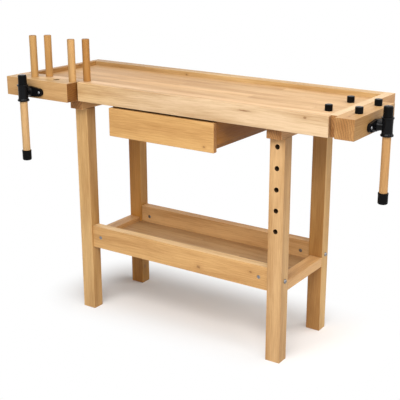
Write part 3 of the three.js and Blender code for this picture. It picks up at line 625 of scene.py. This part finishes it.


# How single boards differ: tint, staves, knots and end grain, with painted light and shade: a darker tint on boards
# in shadow, factors on top and right faces, fades over left ends and a darker end in a gap
BOARD_LOOKS = {
    "worktop_panel": {
        "tint_and_shade": (1.01, 1.11, 1.35),
        "staves": (58 * MM, 1400 * MM),
        # Painted shade over the left end.
        "fade": (-0.4, 0.2, (0.9, 0.82, 0.68)),
    },
    "front_beam": {
        "tint_and_shade": (1.08, 1.21, 1.56),
    },
    "apron": {
        "tint_and_shade": (1.04, 1.27, 1.83),
        # Painted shade on the top face.
        "top": (0.94, 0.89, 0.81),
        # Painted shade over the left end.
        "fade": (-0.4, -0.05, (1.0, 0.94, 0.78)),
        "knots": (
            ((0.259, -0.1675, 0.832), (0.034, 0.02, 0.0035)),
            ((0.464, -0.1675, 0.836), (0.009, 0.02, 0.005)),
        ),
    },
    "back_rim": {
        "tint_and_shade": (0.96, 1.07, 1.1),
        # Painted light on the top face.
        "top": (1.04, 1.08, 1.29),
        # Painted shade over the left end.
        "fade": (-0.62, 0.1, (0.7, 0.63, 0.55)),
        "knots": (
            ((-0.228, 0.229, 0.839), (0.006, 0.02, 0.004)),
        ),
    },
    "left_rim": {
        # Painted shade: the tint darkens the whole rim.
        "tint_and_shade": (0.62, 0.55, 0.39),
        "knots": (
            ((-0.656, 0.137, 0.845), (0.02, 0.012, 0.005)),
        ),
    },
    "tail_end_board": {
        # Painted light on the top face and painted shade on the right face.
        "top": (1.07, 1.27, 1.73),
        "right": (0.78, 0.73, 0.72),
    },
    "front_left_leg": {
        "tint_and_shade": (1.01, 1.08, 1.08),
        # Painted shade on the right face.
        "right": (0.84, 0.77, 0.66),
    },
    "front_right_leg": {
        "tint_and_shade": (0.95, 1.0, 1.08),
        # Painted shade on the right face.
        "right": (0.89, 0.87, 0.81),
    },
    "back_left_leg": {
        # Painted shade: the tint darkens the whole leg, which stands in the top's shadow.
        "tint_and_shade": (0.81, 0.63, 0.29),
        # Painted light on the right face.
        "right": (1.11, 1.29, 1.68),
        "knots": (
            ((-0.408, 0.1895, 0.067), (0.02, 0.009, 0.012)),
        ),
    },
    "back_right_leg": {
        # Painted shade: the tint darkens the whole leg, which stands in the top's shadow.
        "tint_and_shade": (0.68, 0.59, 0.41),
        # Painted light on the right face.
        "right": (1.42, 1.72, 2.26),
    },
    "front_shelf_rail": {
        "tint_and_shade": (0.98, 0.97, 0.88),
        # Painted light on the top face.
        "top": (1.29, 1.53, 2.01),
        "knots": (
            ((0.052, -0.1095, 0.265), (0.012, 0.02, 0.008)),
            ((0.255, -0.1095, 0.293), (0.008, 0.02, 0.005)),
        ),
    },
    "shelf_panel": {
        # Painted shade: the tint darkens the shelf under the top.
        "tint_and_shade": (0.65, 0.67, 0.72),
        "staves": (70 * MM, 900 * MM),
    },
    "drawer_front": {
        "tint_and_shade": (0.97, 0.95, 0.81),
        "knots": (
            ((0.1155, -0.1675, 0.7), (0.006, 0.02, 0.004)),
        ),
    },
    "drawer_left_side": {
        # Painted shade: the tint darkens the side, which lies in shade under the top.
        "tint_and_shade": (0.45, 0.32, 0.11),
    },
    "drawer_right_side": {
        # Painted shade: the tint darkens the side, which lies in shade under the top.
        "tint_and_shade": (0.45, 0.32, 0.11),
    },
    "drawer_runner_right": {
        # Painted shade: the tint darkens the runner under the top.
        "tint_and_shade": (0.5, 0.34, 0.08),
    },
    "jaw_peg_left": {
        "tint_and_shade": (0.81, 0.81, 0.76),
    },
    "jaw_peg_right": {
        "tint_and_shade": (0.88, 0.89, 0.92),
    },
    "beam_peg_left": {
        "tint_and_shade": (0.85, 0.8, 0.69),
    },
    "beam_peg_right": {
        "tint_and_shade": (0.67, 0.55, 0.34),
    },
    "front_jaw": {
        "tint_and_shade": (0.86, 0.86, 0.84),
        # The end factor is darker end grain and painted shade on the end in the gap beside the apron.
        "end": (0.38, 0.25, 0.1),
        # Painted light on the top face.
        "top": (1.09, 1.2, 1.31),
    },
    "tail_jaw": {
        "tint_and_shade": (0.82, 0.78, 0.72),
        "end": (0.76, 0.69, 0.58),
        # Painted light on the top face and painted shade on the right face.
        "top": (1.04, 1.13, 1.29),
        "right": (0.7, 0.69, 0.61),
        "knots": (
            ((0.589, -0.1385, 0.85), (0.006, 0.009, 0.02)),
        ),
    },
    "front_handle": {
        "tint_and_shade": (1.02, 1.12, 1.39),
    },
    "tail_handle": {
        "tint_and_shade": (0.9, 0.86, 0.87),
    },
}



def board_finish(node, turned=False):
    """Oiled wood for a node: the grain runs along its length."""
    seed = 1.0 + 0.83 * list(SLOT_OF).index(node)
    look = BOARD_LOOKS.get(node, {})
    return board_material("wood_" + node, longest_axis(node), seed, turned=turned, **look)


def made_name(node):
    return node + "_made"


def board(node, tools=(), edge=None, low=None, high=None):
    """A plain board in a node's place: squared, cut, eased and oiled."""
    wood = bpy.context.scene.workbench_wood
    foot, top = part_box(node)
    piece = block(made_name(node), low or foot, high or top)
    piece.data.materials.append(board_finish(node))
    work(piece, tools)
    ease(piece, edge or wood.edge)
    hand_over(piece, node)
    return piece


def drill(axis, centre, radius, span):
    """A bit that leaves the wall of a bored hole, coloured nearly black as painted shade."""
    tool = bit(axis, centre, radius, span)
    tool.data.materials.append(bored_wood())
    return tool


def dog_drill(centre, floor=DOG_HOLE_FLOOR):
    """The drill for the hole of a peg or dog."""
    return drill("Z", centre, DOG_HOLE, (floor, TOP_HEIGHT + OVERSHOOT))


def opening_middle(name):
    low, high = OPENINGS[name]
    return (Vector(low) + Vector(high)) / 2


def vise_bits(vise, span):
    """The bits for a vise's screw and guide rods, through what carries the vise."""
    axis = "Y" if vise == "front" else "X"
    screw = middle(vise + "_screw")
    screw.z = middle(vise + "_flange").z
    tools = [bit(axis, screw, SCREW_HOLE, span)]
    for side in ("left", "right"):
        tools.append(bit(axis, middle(f"{vise}_guide_rod_{side}"), ROD_HOLE, span))
    return tools


class WORKBENCH_OT_legs(bpy.types.Operator):
    """Model the four legs, with their bolt holes and the peg holes of the front right one"""

    bl_idname = "workbench.legs"
    bl_label = "Legs"

    def execute(self, context):
        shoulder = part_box("left_bearer")[0].z - 0.3 * MM
        for end in ENDS:
            node = end + "_leg"
            low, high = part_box(node)
            high.z = shoulder
            bolt = middle("frame_bolt_" + end)
            tools = [bit("X", bolt, BOLT_HOLE, (low.x - OVERSHOOT, high.x + OVERSHOOT))]
            if end == "front_right":
                for name in sorted(OPENINGS):
                    if name.startswith("leg_peg_hole"):
                        span = (low.y - OVERSHOOT, low.y + PEG_HOLE_DEPTH)
                        tools.append(drill("Y", opening_middle(name), PEG_HOLE, span))
            board(node, tools, high=high)
        return {"FINISHED"}


class WORKBENCH_OT_bearers(bpy.types.Operator):
    """Model the two bearers that carry the top on the legs"""

    bl_idname = "workbench.bearers"
    bl_label = "Bearers"

    def execute(self, context):
        bar_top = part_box("front_beam")[0].z - 0.3 * MM
        panel_low, panel_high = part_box("worktop_panel")
        for node in ("left_bearer", "right_bearer"):
            low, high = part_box(node)
            spread = Vector((OVERSHOOT, OVERSHOOT, OVERSHOOT))
            tools = [
                block("notch", Vector((low.x, low.y, bar_top)) - Vector((OVERSHOOT, OVERSHOOT, 0)),
                      Vector((high.x, panel_low.y, high.z)) + Vector((OVERSHOOT, 0, OVERSHOOT))),
                block("notch", Vector((low.x - OVERSHOOT, panel_high.y, bar_top)), high + spread),
            ]
            board(node, tools)
        return {"FINISHED"}


class WORKBENCH_OT_shelf(bpy.types.Operator):
    """Model the shelf: four rails and the panel between them"""

    bl_idname = "workbench.shelf"
    bl_label = "Shelf"

    def execute(self, context):
        for side in ("front", "back"):
            node = side + "_shelf_rail"
            low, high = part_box(node)
            tools = []
            for end in ("left", "right"):
                nut = f"barrel_nut_{side}_{end}"
                tools.append(bit("Y", middle(nut), NUT_HOLE, (low.y - OVERSHOOT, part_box(nut)[1].y)))
            board(node, tools)
        gap = 0.3 * MM
        for node in ("left_end_rail", "right_end_rail"):
            low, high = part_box(node)
            low.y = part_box("front_left_leg")[1].y + gap
            high.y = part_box("back_left_leg")[0].y - gap
            board(node, low=low, high=high)
        low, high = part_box("shelf_panel")
        low.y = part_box("front_shelf_rail")[1].y + gap
        high.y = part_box("back_shelf_rail")[0].y - gap
        notches = []
        for end in ENDS:
            leg_low, leg_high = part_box(end + "_leg")
            spread = Vector((gap, gap, 0))
            notches.append(block("notch", leg_low - spread, leg_high + spread))
        board("shelf_panel", notches, context.scene.workbench_wood.thin_edge, low, high)
        return {"FINISHED"}


class WORKBENCH_OT_fasteners(bpy.types.Operator):
    """Model the frame bolts, with a socket in the head, and the slotted barrel nuts"""

    bl_idname = "workbench.fasteners"
    bl_label = "Frame Bolts and Barrel Nuts"

    def bolt(self, sides):
        """One bolt along Z: the head is over the origin and the shank under it."""
        low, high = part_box("frame_bolt_front_left")
        shank = -(high.x - low.x) + 5 * MM
        piece = turn("bolt", [
            (3.4 * MM, shank), (4 * MM, shank + MM), (4 * MM, 0), (6.6 * MM, 0), (7 * MM, 0.4 * MM),
            (7 * MM, 2.2 * MM), (6.4 * MM, 3.8 * MM), (5.2 * MM, 4.7 * MM), (4.4 * MM, 5 * MM)], sides)
        work(piece, [bit("Z", (0, 0, 0), 2.9 * MM, (2 * MM, 6 * MM), sides=6)])
        return smooth(piece, 35)

    def nut(self, sides):
        """One barrel nut along Z, with its slotted end at the origin and its body under it."""
        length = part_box("barrel_nut_front_left")[1].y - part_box("barrel_nut_front_left")[0].y
        piece = turn("nut", [
            (5.4 * MM, -length), (6 * MM, -length + 0.6 * MM), (6 * MM, -0.8 * MM), (5.7 * MM, -0.3 * MM),
            (5.2 * MM, 0)], sides)
        slot = block("slot", (-0.9 * MM, -8 * MM, -1.8 * MM), (0.9 * MM, 8 * MM, MM))
        thread = bit("X", (0, 0, -length / 2), 4.2 * MM, (-8 * MM, 8 * MM))
        work(piece, [slot, thread])
        return smooth(piece, 35)

    def execute(self, context):
        sides = context.scene.workbench_metal.sides
        bolt = self.bolt(sides)
        nut = self.nut(sides)
        for end in ENDS:
            node = "frame_bolt_" + end
            low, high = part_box(node)
            centre = (low + high) / 2
            left = end.endswith("left")
            seat = low.x + 5 * MM if left else high.x - 5 * MM
            lie = Matrix.Rotation(-math.pi / 2 if left else math.pi / 2, 4, "Y")
            piece = settle(copy_of(bolt, made_name(node)), Matrix.Translation((seat, centre.y, centre.z)) @ lie)
            hand_over(piece, node, zinc_plate())
            node = "barrel_nut_" + end
            low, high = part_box(node)
            centre = (low + high) / 2
            lie = Matrix.Rotation(math.pi / 2, 4, "X")
            piece = settle(copy_of(nut, made_name(node)), Matrix.Translation((centre.x, low.y, centre.z)) @ lie)
            hand_over(piece, node, zinc_plate())
        for spare in (bolt, nut):
            bpy.data.objects.remove(spare)
        return {"FINISHED"}


class WORKBENCH_OT_worktop(bpy.types.Operator):
    """Model the top: the staved panel, the drilled beam, the apron, the rims and the tail end board"""

    bl_idname = "workbench.worktop"
    bl_label = "Worktop"

    def execute(self, context):
        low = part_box("worktop_panel")[0]
        through = low.z - OVERSHOOT
        tools = [dog_drill(middle("worktop_dog_" + side), through) for side in ("front", "back")]
        board("worktop_panel", tools, edge=0.8 * MM)
        low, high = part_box("front_beam")
        tools = [dog_drill(middle("beam_peg_left")), dog_drill(middle("beam_peg_right"))]
        tools += vise_bits("front", (low.y - OVERSHOOT, high.y + OVERSHOOT))
        board("front_beam", tools, edge=0.8 * MM)
        board("apron", edge=2.4 * MM)
        for node in ("left_rim", "back_rim"):
            board(node, edge=2.0 * MM)
        low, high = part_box("tail_end_board")
        board("tail_end_board", vise_bits("tail", (low.x - OVERSHOOT, high.x + OVERSHOOT)))
        return {"FINISHED"}


class WORKBENCH_OT_jaws(bpy.types.Operator):
    """Model both vise jaws, drilled for the dogs, the screw and the guide rods"""

    bl_idname = "workbench.jaws"
    bl_label = "Vise Jaws"

    def execute(self, context):
        low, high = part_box("front_jaw")
        tools = [dog_drill(middle("jaw_peg_left")), dog_drill(middle("jaw_peg_right"))]
        for name in ("jaw_dog_hole_outer", "jaw_dog_hole_inner"):
            tools.append(dog_drill(opening_middle(name)))
        screw = middle("front_screw")
        screw.z = middle("front_flange").z
        tools.append(bit("Y", screw, SCREW_HOLE, (low.y - OVERSHOOT, high.y + OVERSHOOT)))
        board("front_jaw", tools, edge=2.0 * MM)
        low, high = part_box("tail_jaw")
        tools = [dog_drill(middle("jaw_dog_front")), dog_drill(middle("jaw_dog_back"))]
        screw = middle("tail_screw")
        screw.z = middle("tail_flange").z
        tools.append(bit("X", screw, SCREW_HOLE, (low.x - OVERSHOOT, high.x + OVERSHOOT)))
        board("tail_jaw", tools, edge=2.0 * MM)
        return {"FINISHED"}


class WORKBENCH_OT_vise_screws(bpy.types.Operator):
    """Model the vise fittings: tee heads, threads, flanges with their screws, guide rods and nut plates"""

    bl_idname = "workbench.vise_screws"
    bl_label = "Vise Screws"

    def tee(self, sides):
        """The cast tee: a barrel for the handle, and a waisted neck to the jaw."""
        reach = -40 * MM
        barrel = turn("tee", [
            (13.6 * MM, -28 * MM), (18.6 * MM, -28 * MM), (19.5 * MM, -27.2 * MM), (19.5 * MM, -24 * MM),
            (18.6 * MM, -22.8 * MM), (17.0 * MM, -20.6 * MM), (16.5 * MM, -18 * MM), (16.3 * MM, 0),
            (16.5 * MM, 20 * MM), (17 * MM, 22.6 * MM), (18.4 * MM, 23.2 * MM), (19 * MM, 24 * MM),
            (19 * MM, 27.2 * MM), (18.3 * MM, 28 * MM), (13.6 * MM, 28 * MM), (13.6 * MM, -27.99 * MM)], sides)
        settle(barrel, Matrix.Translation((0, reach, 0)))
        neck = turn("neck", [
            (13.8 * MM, 0), (13.6 * MM, 12 * MM), (13.8 * MM, 17 * MM), (14.2 * MM, 21 * MM), (14.8 * MM, 24 * MM),
            (15.8 * MM, 25.6 * MM), (15.8 * MM, 29.2 * MM), (14.6 * MM, 30.3 * MM)], sides)
        settle(neck, Matrix.Translation((0, reach, 0)) @ Matrix.Rotation(-math.pi / 2, 4, "X"))
        work(neck, [bit("Z", (0, reach, 0), 15.5 * MM, (-40 * MM, 40 * MM), sides=sides)])
        work(barrel, [neck], "UNION")
        collar = bit("Y", (0, 0, 0), 10 * MM, (-10.5 * MM, 10 * MM), sides=sides)
        work(barrel, [collar], "UNION")
        return ease(barrel, 0.6 * MM, segments=2, angle=40)

    def thread(self, vise, pitch):
        """The trapezoid thread of a vise screw, from its collar to its end."""
        start = 9 * MM
        low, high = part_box(vise + "_screw")
        length = max(high.x - low.x, high.y - low.y) - 59.5 * MM
        crest = 8 * MM
        root = 6.3 * MM
        bpy.ops.object.select_all(action="DESELECT")
        bpy.ops.mesh.primitive_circle_add(vertices=5, fill_type="NOTHING", radius=crest)
        piece = bpy.context.object
        outline = [(root, 0), (crest, 0.28), (crest, 0.52), (root, 0.8), (root, 1)]
        for vertex, (radius, rise) in zip(piece.data.vertices, outline):
            vertex.co = (radius, 0, rise * pitch)
        bpy.ops.object.mode_set(mode="EDIT")
        bpy.ops.mesh.select_mode(type="EDGE")
        bpy.ops.mesh.select_all(action="DESELECT")
        bpy.ops.object.mode_set(mode="OBJECT")
        for edge in piece.data.edges:
            edge.select = set(edge.vertices) == {0, 4}
        bpy.ops.object.mode_set(mode="EDIT")
        bpy.ops.mesh.delete(type="EDGE")
        bpy.ops.object.mode_set(mode="OBJECT")
        bpy.ops.object.modifier_add(type="SCREW")
        modifier = piece.modifiers[-1]
        modifier.screw_offset = pitch
        modifier.iterations = math.ceil(length / pitch) + 3
        modifier.steps = 28
        modifier.render_steps = 28
        modifier.use_merge_vertices = True
        bpy.ops.object.modifier_apply(modifier=modifier.name)
        bpy.ops.object.mode_set(mode="EDIT")
        for place, side in ((1.5 * pitch, -1), (1.5 * pitch + length, 1)):
            bpy.ops.mesh.select_all(action="SELECT")
            bpy.ops.mesh.bisect(plane_co=(0, 0, place), plane_no=(0, 0, side), clear_outer=True, use_fill=True)
        bpy.ops.mesh.select_all(action="SELECT")
        bpy.ops.mesh.remove_doubles(threshold=1e-6)
        bpy.ops.mesh.normals_make_consistent(inside=False)
        bpy.ops.object.mode_set(mode="OBJECT")
        lie = Matrix.Translation((0, start, 0)) @ Matrix.Rotation(-math.pi / 2, 4, "X")
        settle(piece, lie @ Matrix.Translation((0, 0, -1.5 * pitch)))
        return smooth(piece, 30)

    def flange(self, sides):
        """The long plate on the jaw, round at both ends."""
        tools = []
        for x, radius in ((-42 * MM, 13 * MM), (0, 18 * MM), (42 * MM, 13 * MM)):
            tools.append(bit("Y", (x, 0, 0), radius, (-9.3 * MM, -0.3 * MM), sides=sides))
        bpy.ops.object.select_all(action="DESELECT")
        for tool in tools:
            tool.select_set(True)
        bpy.context.view_layer.objects.active = tools[0]
        bpy.ops.object.join()
        piece = bpy.context.object
        bpy.ops.object.mode_set(mode="EDIT")
        bpy.ops.mesh.select_all(action="SELECT")
        bpy.ops.mesh.convex_hull(join_triangles=True)
        bpy.ops.mesh.normals_make_consistent(inside=False)
        bpy.ops.object.mode_set(mode="OBJECT")
        work(piece, [bit("Y", (0, 0, 0), 10.5 * MM, (-12 * MM, 2 * MM), sides=sides)])
        return ease(piece, 1.8 * MM, segments=3, angle=40)

    def flange_screw(self, sides):
        """A bright pan-head screw with a cross in its head, along Z."""
        piece = turn("screw", [
            (3.0 * MM, 0), (4.4 * MM, 0), (4.7 * MM, 0.4 * MM), (4.5 * MM, 1.1 * MM), (3.8 * MM, 2.0 * MM),
            (2.6 * MM, 2.6 * MM), (1.2 * MM, 2.8 * MM)], sides)
        arm = block("arm", (-0.5 * MM, -2.4 * MM, 1.4 * MM), (0.5 * MM, 2.4 * MM, 5 * MM))
        other = block("arm", (-2.4 * MM, -0.5 * MM, 1.4 * MM), (2.4 * MM, 0.5 * MM, 5 * MM))
        work(piece, [arm, other])
        return smooth(piece, 35)

    def nut_plate(self, vise):
        low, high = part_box(vise + "_nut_plate")
        piece = block(made_name(vise + "_nut_plate"), low, high)
        axis = 1 if vise == "front" else 0
        work(piece, vise_bits(vise, (low[axis] - OVERSHOOT, high[axis] + OVERSHOOT)))
        return ease(piece, 1.2 * MM, segments=2)

    def rod(self, node, sides):
        """A guide rod with a chamfer at both ends."""
        low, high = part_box(node)
        size = high - low
        axis = longest_axis(node)
        length = size[AXES.index(axis)]
        piece = turn(made_name(node), [
            (5 * MM, 0), (6 * MM, MM), (6 * MM, length - MM), (5 * MM, length)], sides)
        lie = Matrix.Rotation(-math.pi / 2, 4, "X") if axis == "Y" else Matrix.Rotation(math.pi / 2, 4, "Y")
        start = (low + high) / 2
        start[AXES.index(axis)] = low[AXES.index(axis)]
        settle(piece, Matrix.Translation(start) @ lie)
        return smooth(piece, 35)

    def execute(self, context):
        metal = context.scene.workbench_metal
        tee = self.tee(metal.sides)
        flange = self.flange(metal.sides)
        screw = self.flange_screw(32)
        for vise in VISES:
            placement = vise_placement(vise)
            piece = settle(copy_of(tee, made_name(vise + "_screw")), placement)
            hand_over(piece, vise + "_screw", black_paint())
            piece = self.thread(vise, metal.pitch)
            piece.name = vise + "_screw_thread"
            settle(piece, placement)
            hand_over(piece, vise + "_screw", drawn_steel(), slot="bright_steel", stands_for=False)
            piece = settle(copy_of(flange, made_name(vise + "_flange")), placement)
            hand_over(piece, vise + "_flange", black_paint())
            for side, x in (("left", -42 * MM), ("right", 42 * MM)):
                seat = Matrix.Translation((x, -9.3 * MM, 0)) @ Matrix.Rotation(math.pi / 2, 4, "X")
                twist = Matrix.Rotation(math.radians(25 if side == "left" else 60), 4, "Z")
                piece = settle(copy_of(screw, f"{vise}_flange_screw_{side}"), placement @ seat @ twist)
                hand_over(piece, vise + "_flange", zinc_plate(), slot="zinc", stands_for=False)
                node = f"{vise}_guide_rod_{side}"
                hand_over(self.rod(node, metal.sides), node, drawn_steel())
            hand_over(self.nut_plate(vise), vise + "_nut_plate", black_paint())
        for spare in (tee, flange, screw):
            bpy.data.objects.remove(spare)
        return {"FINISHED"}


class WORKBENCH_OT_vise_handles(bpy.types.Operator):
    """Model the vise handles: a turned bar with a black cap on each end"""

    bl_idname = "workbench.vise_handles"
    bl_label = "Vise Handles"

    def cap(self, radius, height, sides):
        """A cup cap along Z with its mouth at the origin."""
        bore = 13.3 * MM
        return smooth(turn("cap", [
            (bore, 0), (radius - 0.8 * MM, 0), (radius, 0.8 * MM), (radius, 5 * MM),
            (radius - 0.5 * MM, 5.6 * MM), (radius - 0.5 * MM, height - 4 * MM), (radius - 1.2 * MM, height - 2 * MM),
            (radius - 2.6 * MM, height - 0.6 * MM), (radius - 4.5 * MM, height), (bore * 0.2, height),
            (bore * 0.15, height - 4 * MM), (bore, height - 4.01 * MM), (bore, 0.01 * MM)], sides), 35)

    def execute(self, context):
        sides = context.scene.workbench_metal.sides
        for vise in VISES:
            node = vise + "_handle"
            low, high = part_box(node)
            centre = (low + high) / 2
            length = high.z - low.z
            bar = turn(made_name(node), [
                (12 * MM, 0), (13 * MM, MM), (12.8 * MM, length * 0.3), (12.9 * MM, length * 0.6),
                (13 * MM, length - MM), (12 * MM, length)], sides)
            settle(bar, Matrix.Translation((centre.x, centre.y, low.z)))
            smooth(bar, 35)
            hand_over(bar, node, board_finish(node, turned=True))
            for end in ("top", "bottom"):
                node = f"{vise}_handle_{end}_cap"
                low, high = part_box(node)
                piece = self.cap((high.x - low.x) / 2, high.z - low.z, sides)
                piece.name = made_name(node)
                if end == "top":
                    placement = Matrix.Translation((centre.x, centre.y, low.z))
                else:
                    placement = Matrix.Translation((centre.x, centre.y, high.z)) @ Matrix.Rotation(math.pi, 4, "X")
                settle(piece, placement)
                hand_over(piece, node, black_plastic())
        return {"FINISHED"}


class WORKBENCH_OT_drawer(bpy.types.Operator):
    """Model the drawer and the runners it slides on"""

    bl_idname = "workbench.drawer"
    bl_label = "Drawer"

    def execute(self, context):
        thin = context.scene.workbench_wood.thin_edge
        board("drawer_front", edge=2.0 * MM)
        floor_low, floor_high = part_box("drawer_floor")
        for side in ("left", "right"):
            node = f"drawer_{side}_side"
            low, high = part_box(node)
            gap = 0.6 * MM
            middle_z = 727 * MM
            groove_depth = 6.5 * MM
            outer = (low.x - OVERSHOOT, low.x + groove_depth)
            if side == "right":
                outer = (high.x - groove_depth, high.x + OVERSHOOT)
            groove = block("groove", (outer[0], low.y - OVERSHOOT, middle_z - 5 * MM - gap),
                           (outer[1], high.y + OVERSHOOT, middle_z + 5 * MM + gap))
            slot = block("slot", floor_low - Vector((gap, 0.1, gap)), floor_high + Vector((gap, 0.0, gap)))
            board(node, [groove, slot], edge=thin)
            board_low, board_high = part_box("drawer_runner_" + side)
            tongue = 6 * MM
            face = (board_high.x - tongue, board_high.x + OVERSHOOT)
            if side == "right":
                face = (board_low.x - OVERSHOOT, board_low.x + tongue)
            tools = [
                block("rebate", (face[0], board_low.y - OVERSHOOT, board_low.z - OVERSHOOT),
                      (face[1], board_high.y + OVERSHOOT, middle_z - 5 * MM)),
                block("rebate", (face[0], board_low.y - OVERSHOOT, middle_z + 5 * MM),
                      (face[1], board_high.y + OVERSHOOT, board_high.z + OVERSHOOT)),
            ]
            board("drawer_runner_" + side, tools, thin)
        board("drawer_back", edge=thin)
        board("drawer_floor", edge=0.5 * MM)
        return {"FINISHED"}


class WORKBENCH_OT_pegs_and_dogs(bpy.types.Operator):
    """Model the four wooden pegs and the four black bench dogs"""

    bl_idname = "workbench.pegs_and_dogs"
    bl_label = "Pegs and Dogs"

    def execute(self, context):
        sides = context.scene.workbench_metal.sides
        for node in PEGS + DOGS:
            low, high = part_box(node)
            centre = (low + high) / 2
            surface = PANEL_TOP if node.startswith("worktop") else TOP_HEIGHT
            seat = surface + 0.3 * MM - low.z
            top = high.z - low.z
            peg = node in PEGS
            radius = (high.x - low.x) / 2
            shank = 10.2 * MM
            profile = [(shank - 1.2 * MM, 0), (shank, 1.2 * MM), (shank, seat), (radius - 0.6 * MM, seat),
                       (radius, seat + 0.6 * MM)]
            if peg:
                profile += [(radius, top * 0.4), (radius - 0.15 * MM, top * 0.7)]
            profile += [(radius, top - 1.8 * MM), (radius - 0.5 * MM, top - 0.7 * MM),
                        (radius - 1.6 * MM, top), (radius * 0.4, top)]
            piece = turn(made_name(node), profile, sides)
            settle(piece, Matrix.Translation((centre.x, centre.y, low.z)))
            smooth(piece, 35)
            if peg:
                hand_over(piece, node, board_finish(node, turned=True))
            else:
                hand_over(piece, node, black_plastic())
        return {"FINISHED"}


class WORKBENCH_OT_stage(bpy.types.Operator):
    """Set the pale floor, which can be seen through from below, the lamps and the camera"""

    bl_idname = "workbench.stage"
    bl_label = "Stage"

    def seen_rays(self, wiring):
        """One where the eye sees the surface itself, or sees it in metal or through glass."""
        path = wiring.node("ShaderNodeLightPath").outputs
        mirrored = wiring.math("MAXIMUM", path["Is Glossy Ray"], path["Is Transmission Ray"])
        return wiring.math("MAXIMUM", path["Is Camera Ray"], mirrored)

    def floor(self, stage):
        bpy.ops.object.select_all(action="DESELECT")
        bpy.ops.mesh.primitive_plane_add(size=30)
        piece = bpy.context.object
        piece.name = "floor"
        material, w, shader = new_material("pale_floor")
        shader.inputs["Roughness"].default_value = 0.9
        shader.inputs["Specular IOR Level"].default_value = 0.1
        shader.inputs["Base Color"].default_value = list(stage.floor) + [1]
        place = w.node("ShaderNodeTexCoord").outputs["Object"]
        low, high = Vector(SHADE_FROM), Vector(SHADE_TO)
        foot = w.vector("ABSOLUTE", w.vector("SUBTRACT", place, (low + high) / 2))
        beyond = w.vector("MAXIMUM", w.vector("SUBTRACT", foot, (high - low) / 2), (0, 0, 0))
        reach = w.vector("LENGTH", w.vector("MULTIPLY", beyond, (1, 1, 0)))
        fade = w.math("MULTIPLY", w.ramp(reach, 0.0, SHADE_REACH), self.seen_rays(w))
        glow = w.node("ShaderNodeEmission")
        blend = w.node("ShaderNodeMixShader")
        w.feed(blend.inputs[0], fade)
        w.feed(blend.inputs[1], shader.outputs[0])
        w.feed(blend.inputs[2], glow.outputs[0])
        one_sided = w.node("ShaderNodeMixShader")
        w.feed(one_sided.inputs[0], w.node("ShaderNodeNewGeometry").outputs["Backfacing"])
        w.feed(one_sided.inputs[1], blend.outputs[0])
        w.feed(one_sided.inputs[2], w.node("ShaderNodeBsdfTransparent").outputs[0])
        w.feed(material.node_tree.nodes["Material Output"].inputs["Surface"], one_sided.outputs[0])
        piece.data.materials.append(material)

    def lamp(self, name, power, size, place):
        """A square soft box that faces the bench."""
        bpy.ops.object.light_add(type="AREA", location=place)
        lamp = bpy.context.object
        lamp.name = name
        lamp.data.energy = power
        lamp.data.shape = "SQUARE"
        lamp.data.size = size
        lamp.rotation_euler = (Vector((0, 0, 0.5)) - Vector(place)).to_track_quat("-Z", "Y").to_euler()

    def execute(self, context):
        scene = context.scene
        stage = scene.workbench_stage
        self.floor(stage)
        self.lamp("key_lamp", stage.key, 2.0, (1.8, -2.6, 3.0))
        self.lamp("front_lamp", stage.front, 2.4, (0, -3.0, 3.2))
        self.lamp("overhead_lamp", stage.overhead, 2.2, (0.9, 0.4, 2.9))
        self.lamp("back_lamp", stage.back, 2.0, (2.8, 1.8, 2.6))
        self.lamp("fill_lamp", stage.fill, 2.0, (-2.8, 1.8, 1.6))
        self.lamp("side_lamp", stage.side, 1.4, (3.3, -1.0, 2.2))

        world = scene.world or bpy.data.worlds.new("room")
        scene.world = world
        world.use_nodes = True
        w = Wiring(world.node_tree)
        background = world.node_tree.nodes["Background"]
        background.inputs["Color"].default_value = (1, 1, 1, 1)
        w.feed(background.inputs["Strength"], w.ramp(self.seen_rays(w), 0.0, 1.0, stage.sky, 1.0, soft=False))

        bpy.ops.object.camera_add(location=stage.eye)
        camera = bpy.context.object
        camera.name = "camera"
        aim = Matrix.Rotation(stage.yaw, 3, "Z") @ Matrix.Rotation(math.pi / 2 + stage.pitch, 3, "X")
        camera.rotation_euler = (aim @ Matrix.Rotation(stage.roll, 3, "Z")).to_euler()
        camera.data.lens = stage.lens
        camera.data.sensor_width = 36
        camera.data.shift_x = stage.shift
        camera.data.clip_start = 0.05
        scene.camera = camera
        scene.view_settings.view_transform = "Standard"
        return {"FINISHED"}


class WORKBENCH_PT_panel(bpy.types.Panel):
    """List the bench's sizes, colours and pieces"""

    bl_idname = "WORKBENCH_PT_panel"
    bl_label = "Woodworking Bench"
    bl_space_type = "VIEW_3D"
    bl_region_type = "UI"
    bl_category = "Bench"

    def draw(self, context):
        layout = self.layout
        for group in (context.scene.workbench_wood, context.scene.workbench_metal, context.scene.workbench_stage):
            box = layout.box()
            for setting in group.__annotations__:
                box.prop(group, setting)
        for operator in OPERATORS:
            layout.operator(operator.bl_idname)


SETTINGS = {
    "workbench_wood": WorkbenchWood,
    "workbench_metal": WorkbenchMetal,
    "workbench_stage": WorkbenchStage,
}
OPERATORS = (
    WORKBENCH_OT_stage,
    WORKBENCH_OT_legs,
    WORKBENCH_OT_bearers,
    WORKBENCH_OT_shelf,
    WORKBENCH_OT_fasteners,
    WORKBENCH_OT_worktop,
    WORKBENCH_OT_jaws,
    WORKBENCH_OT_vise_screws,
    WORKBENCH_OT_vise_handles,
    WORKBENCH_OT_drawer,
    WORKBENCH_OT_pegs_and_dogs,
)
CLASSES = tuple(SETTINGS.values()) + OPERATORS + (WORKBENCH_PT_panel,)


def register():
    for kind in CLASSES:
        bpy.utils.register_class(kind)
    for name, group in SETTINGS.items():
        setattr(bpy.types.Scene, name, PointerProperty(type=group))


def unregister():
    for name in SETTINGS:
        delattr(bpy.types.Scene, name)
    for kind in reversed(CLASSES):
        bpy.utils.unregister_class(kind)


def main():
    register()
    for operator in OPERATORS:
        group, name = operator.bl_idname.split(".")
        getattr(getattr(bpy.ops, group), name)()


if __name__ == "__main__":
    main()
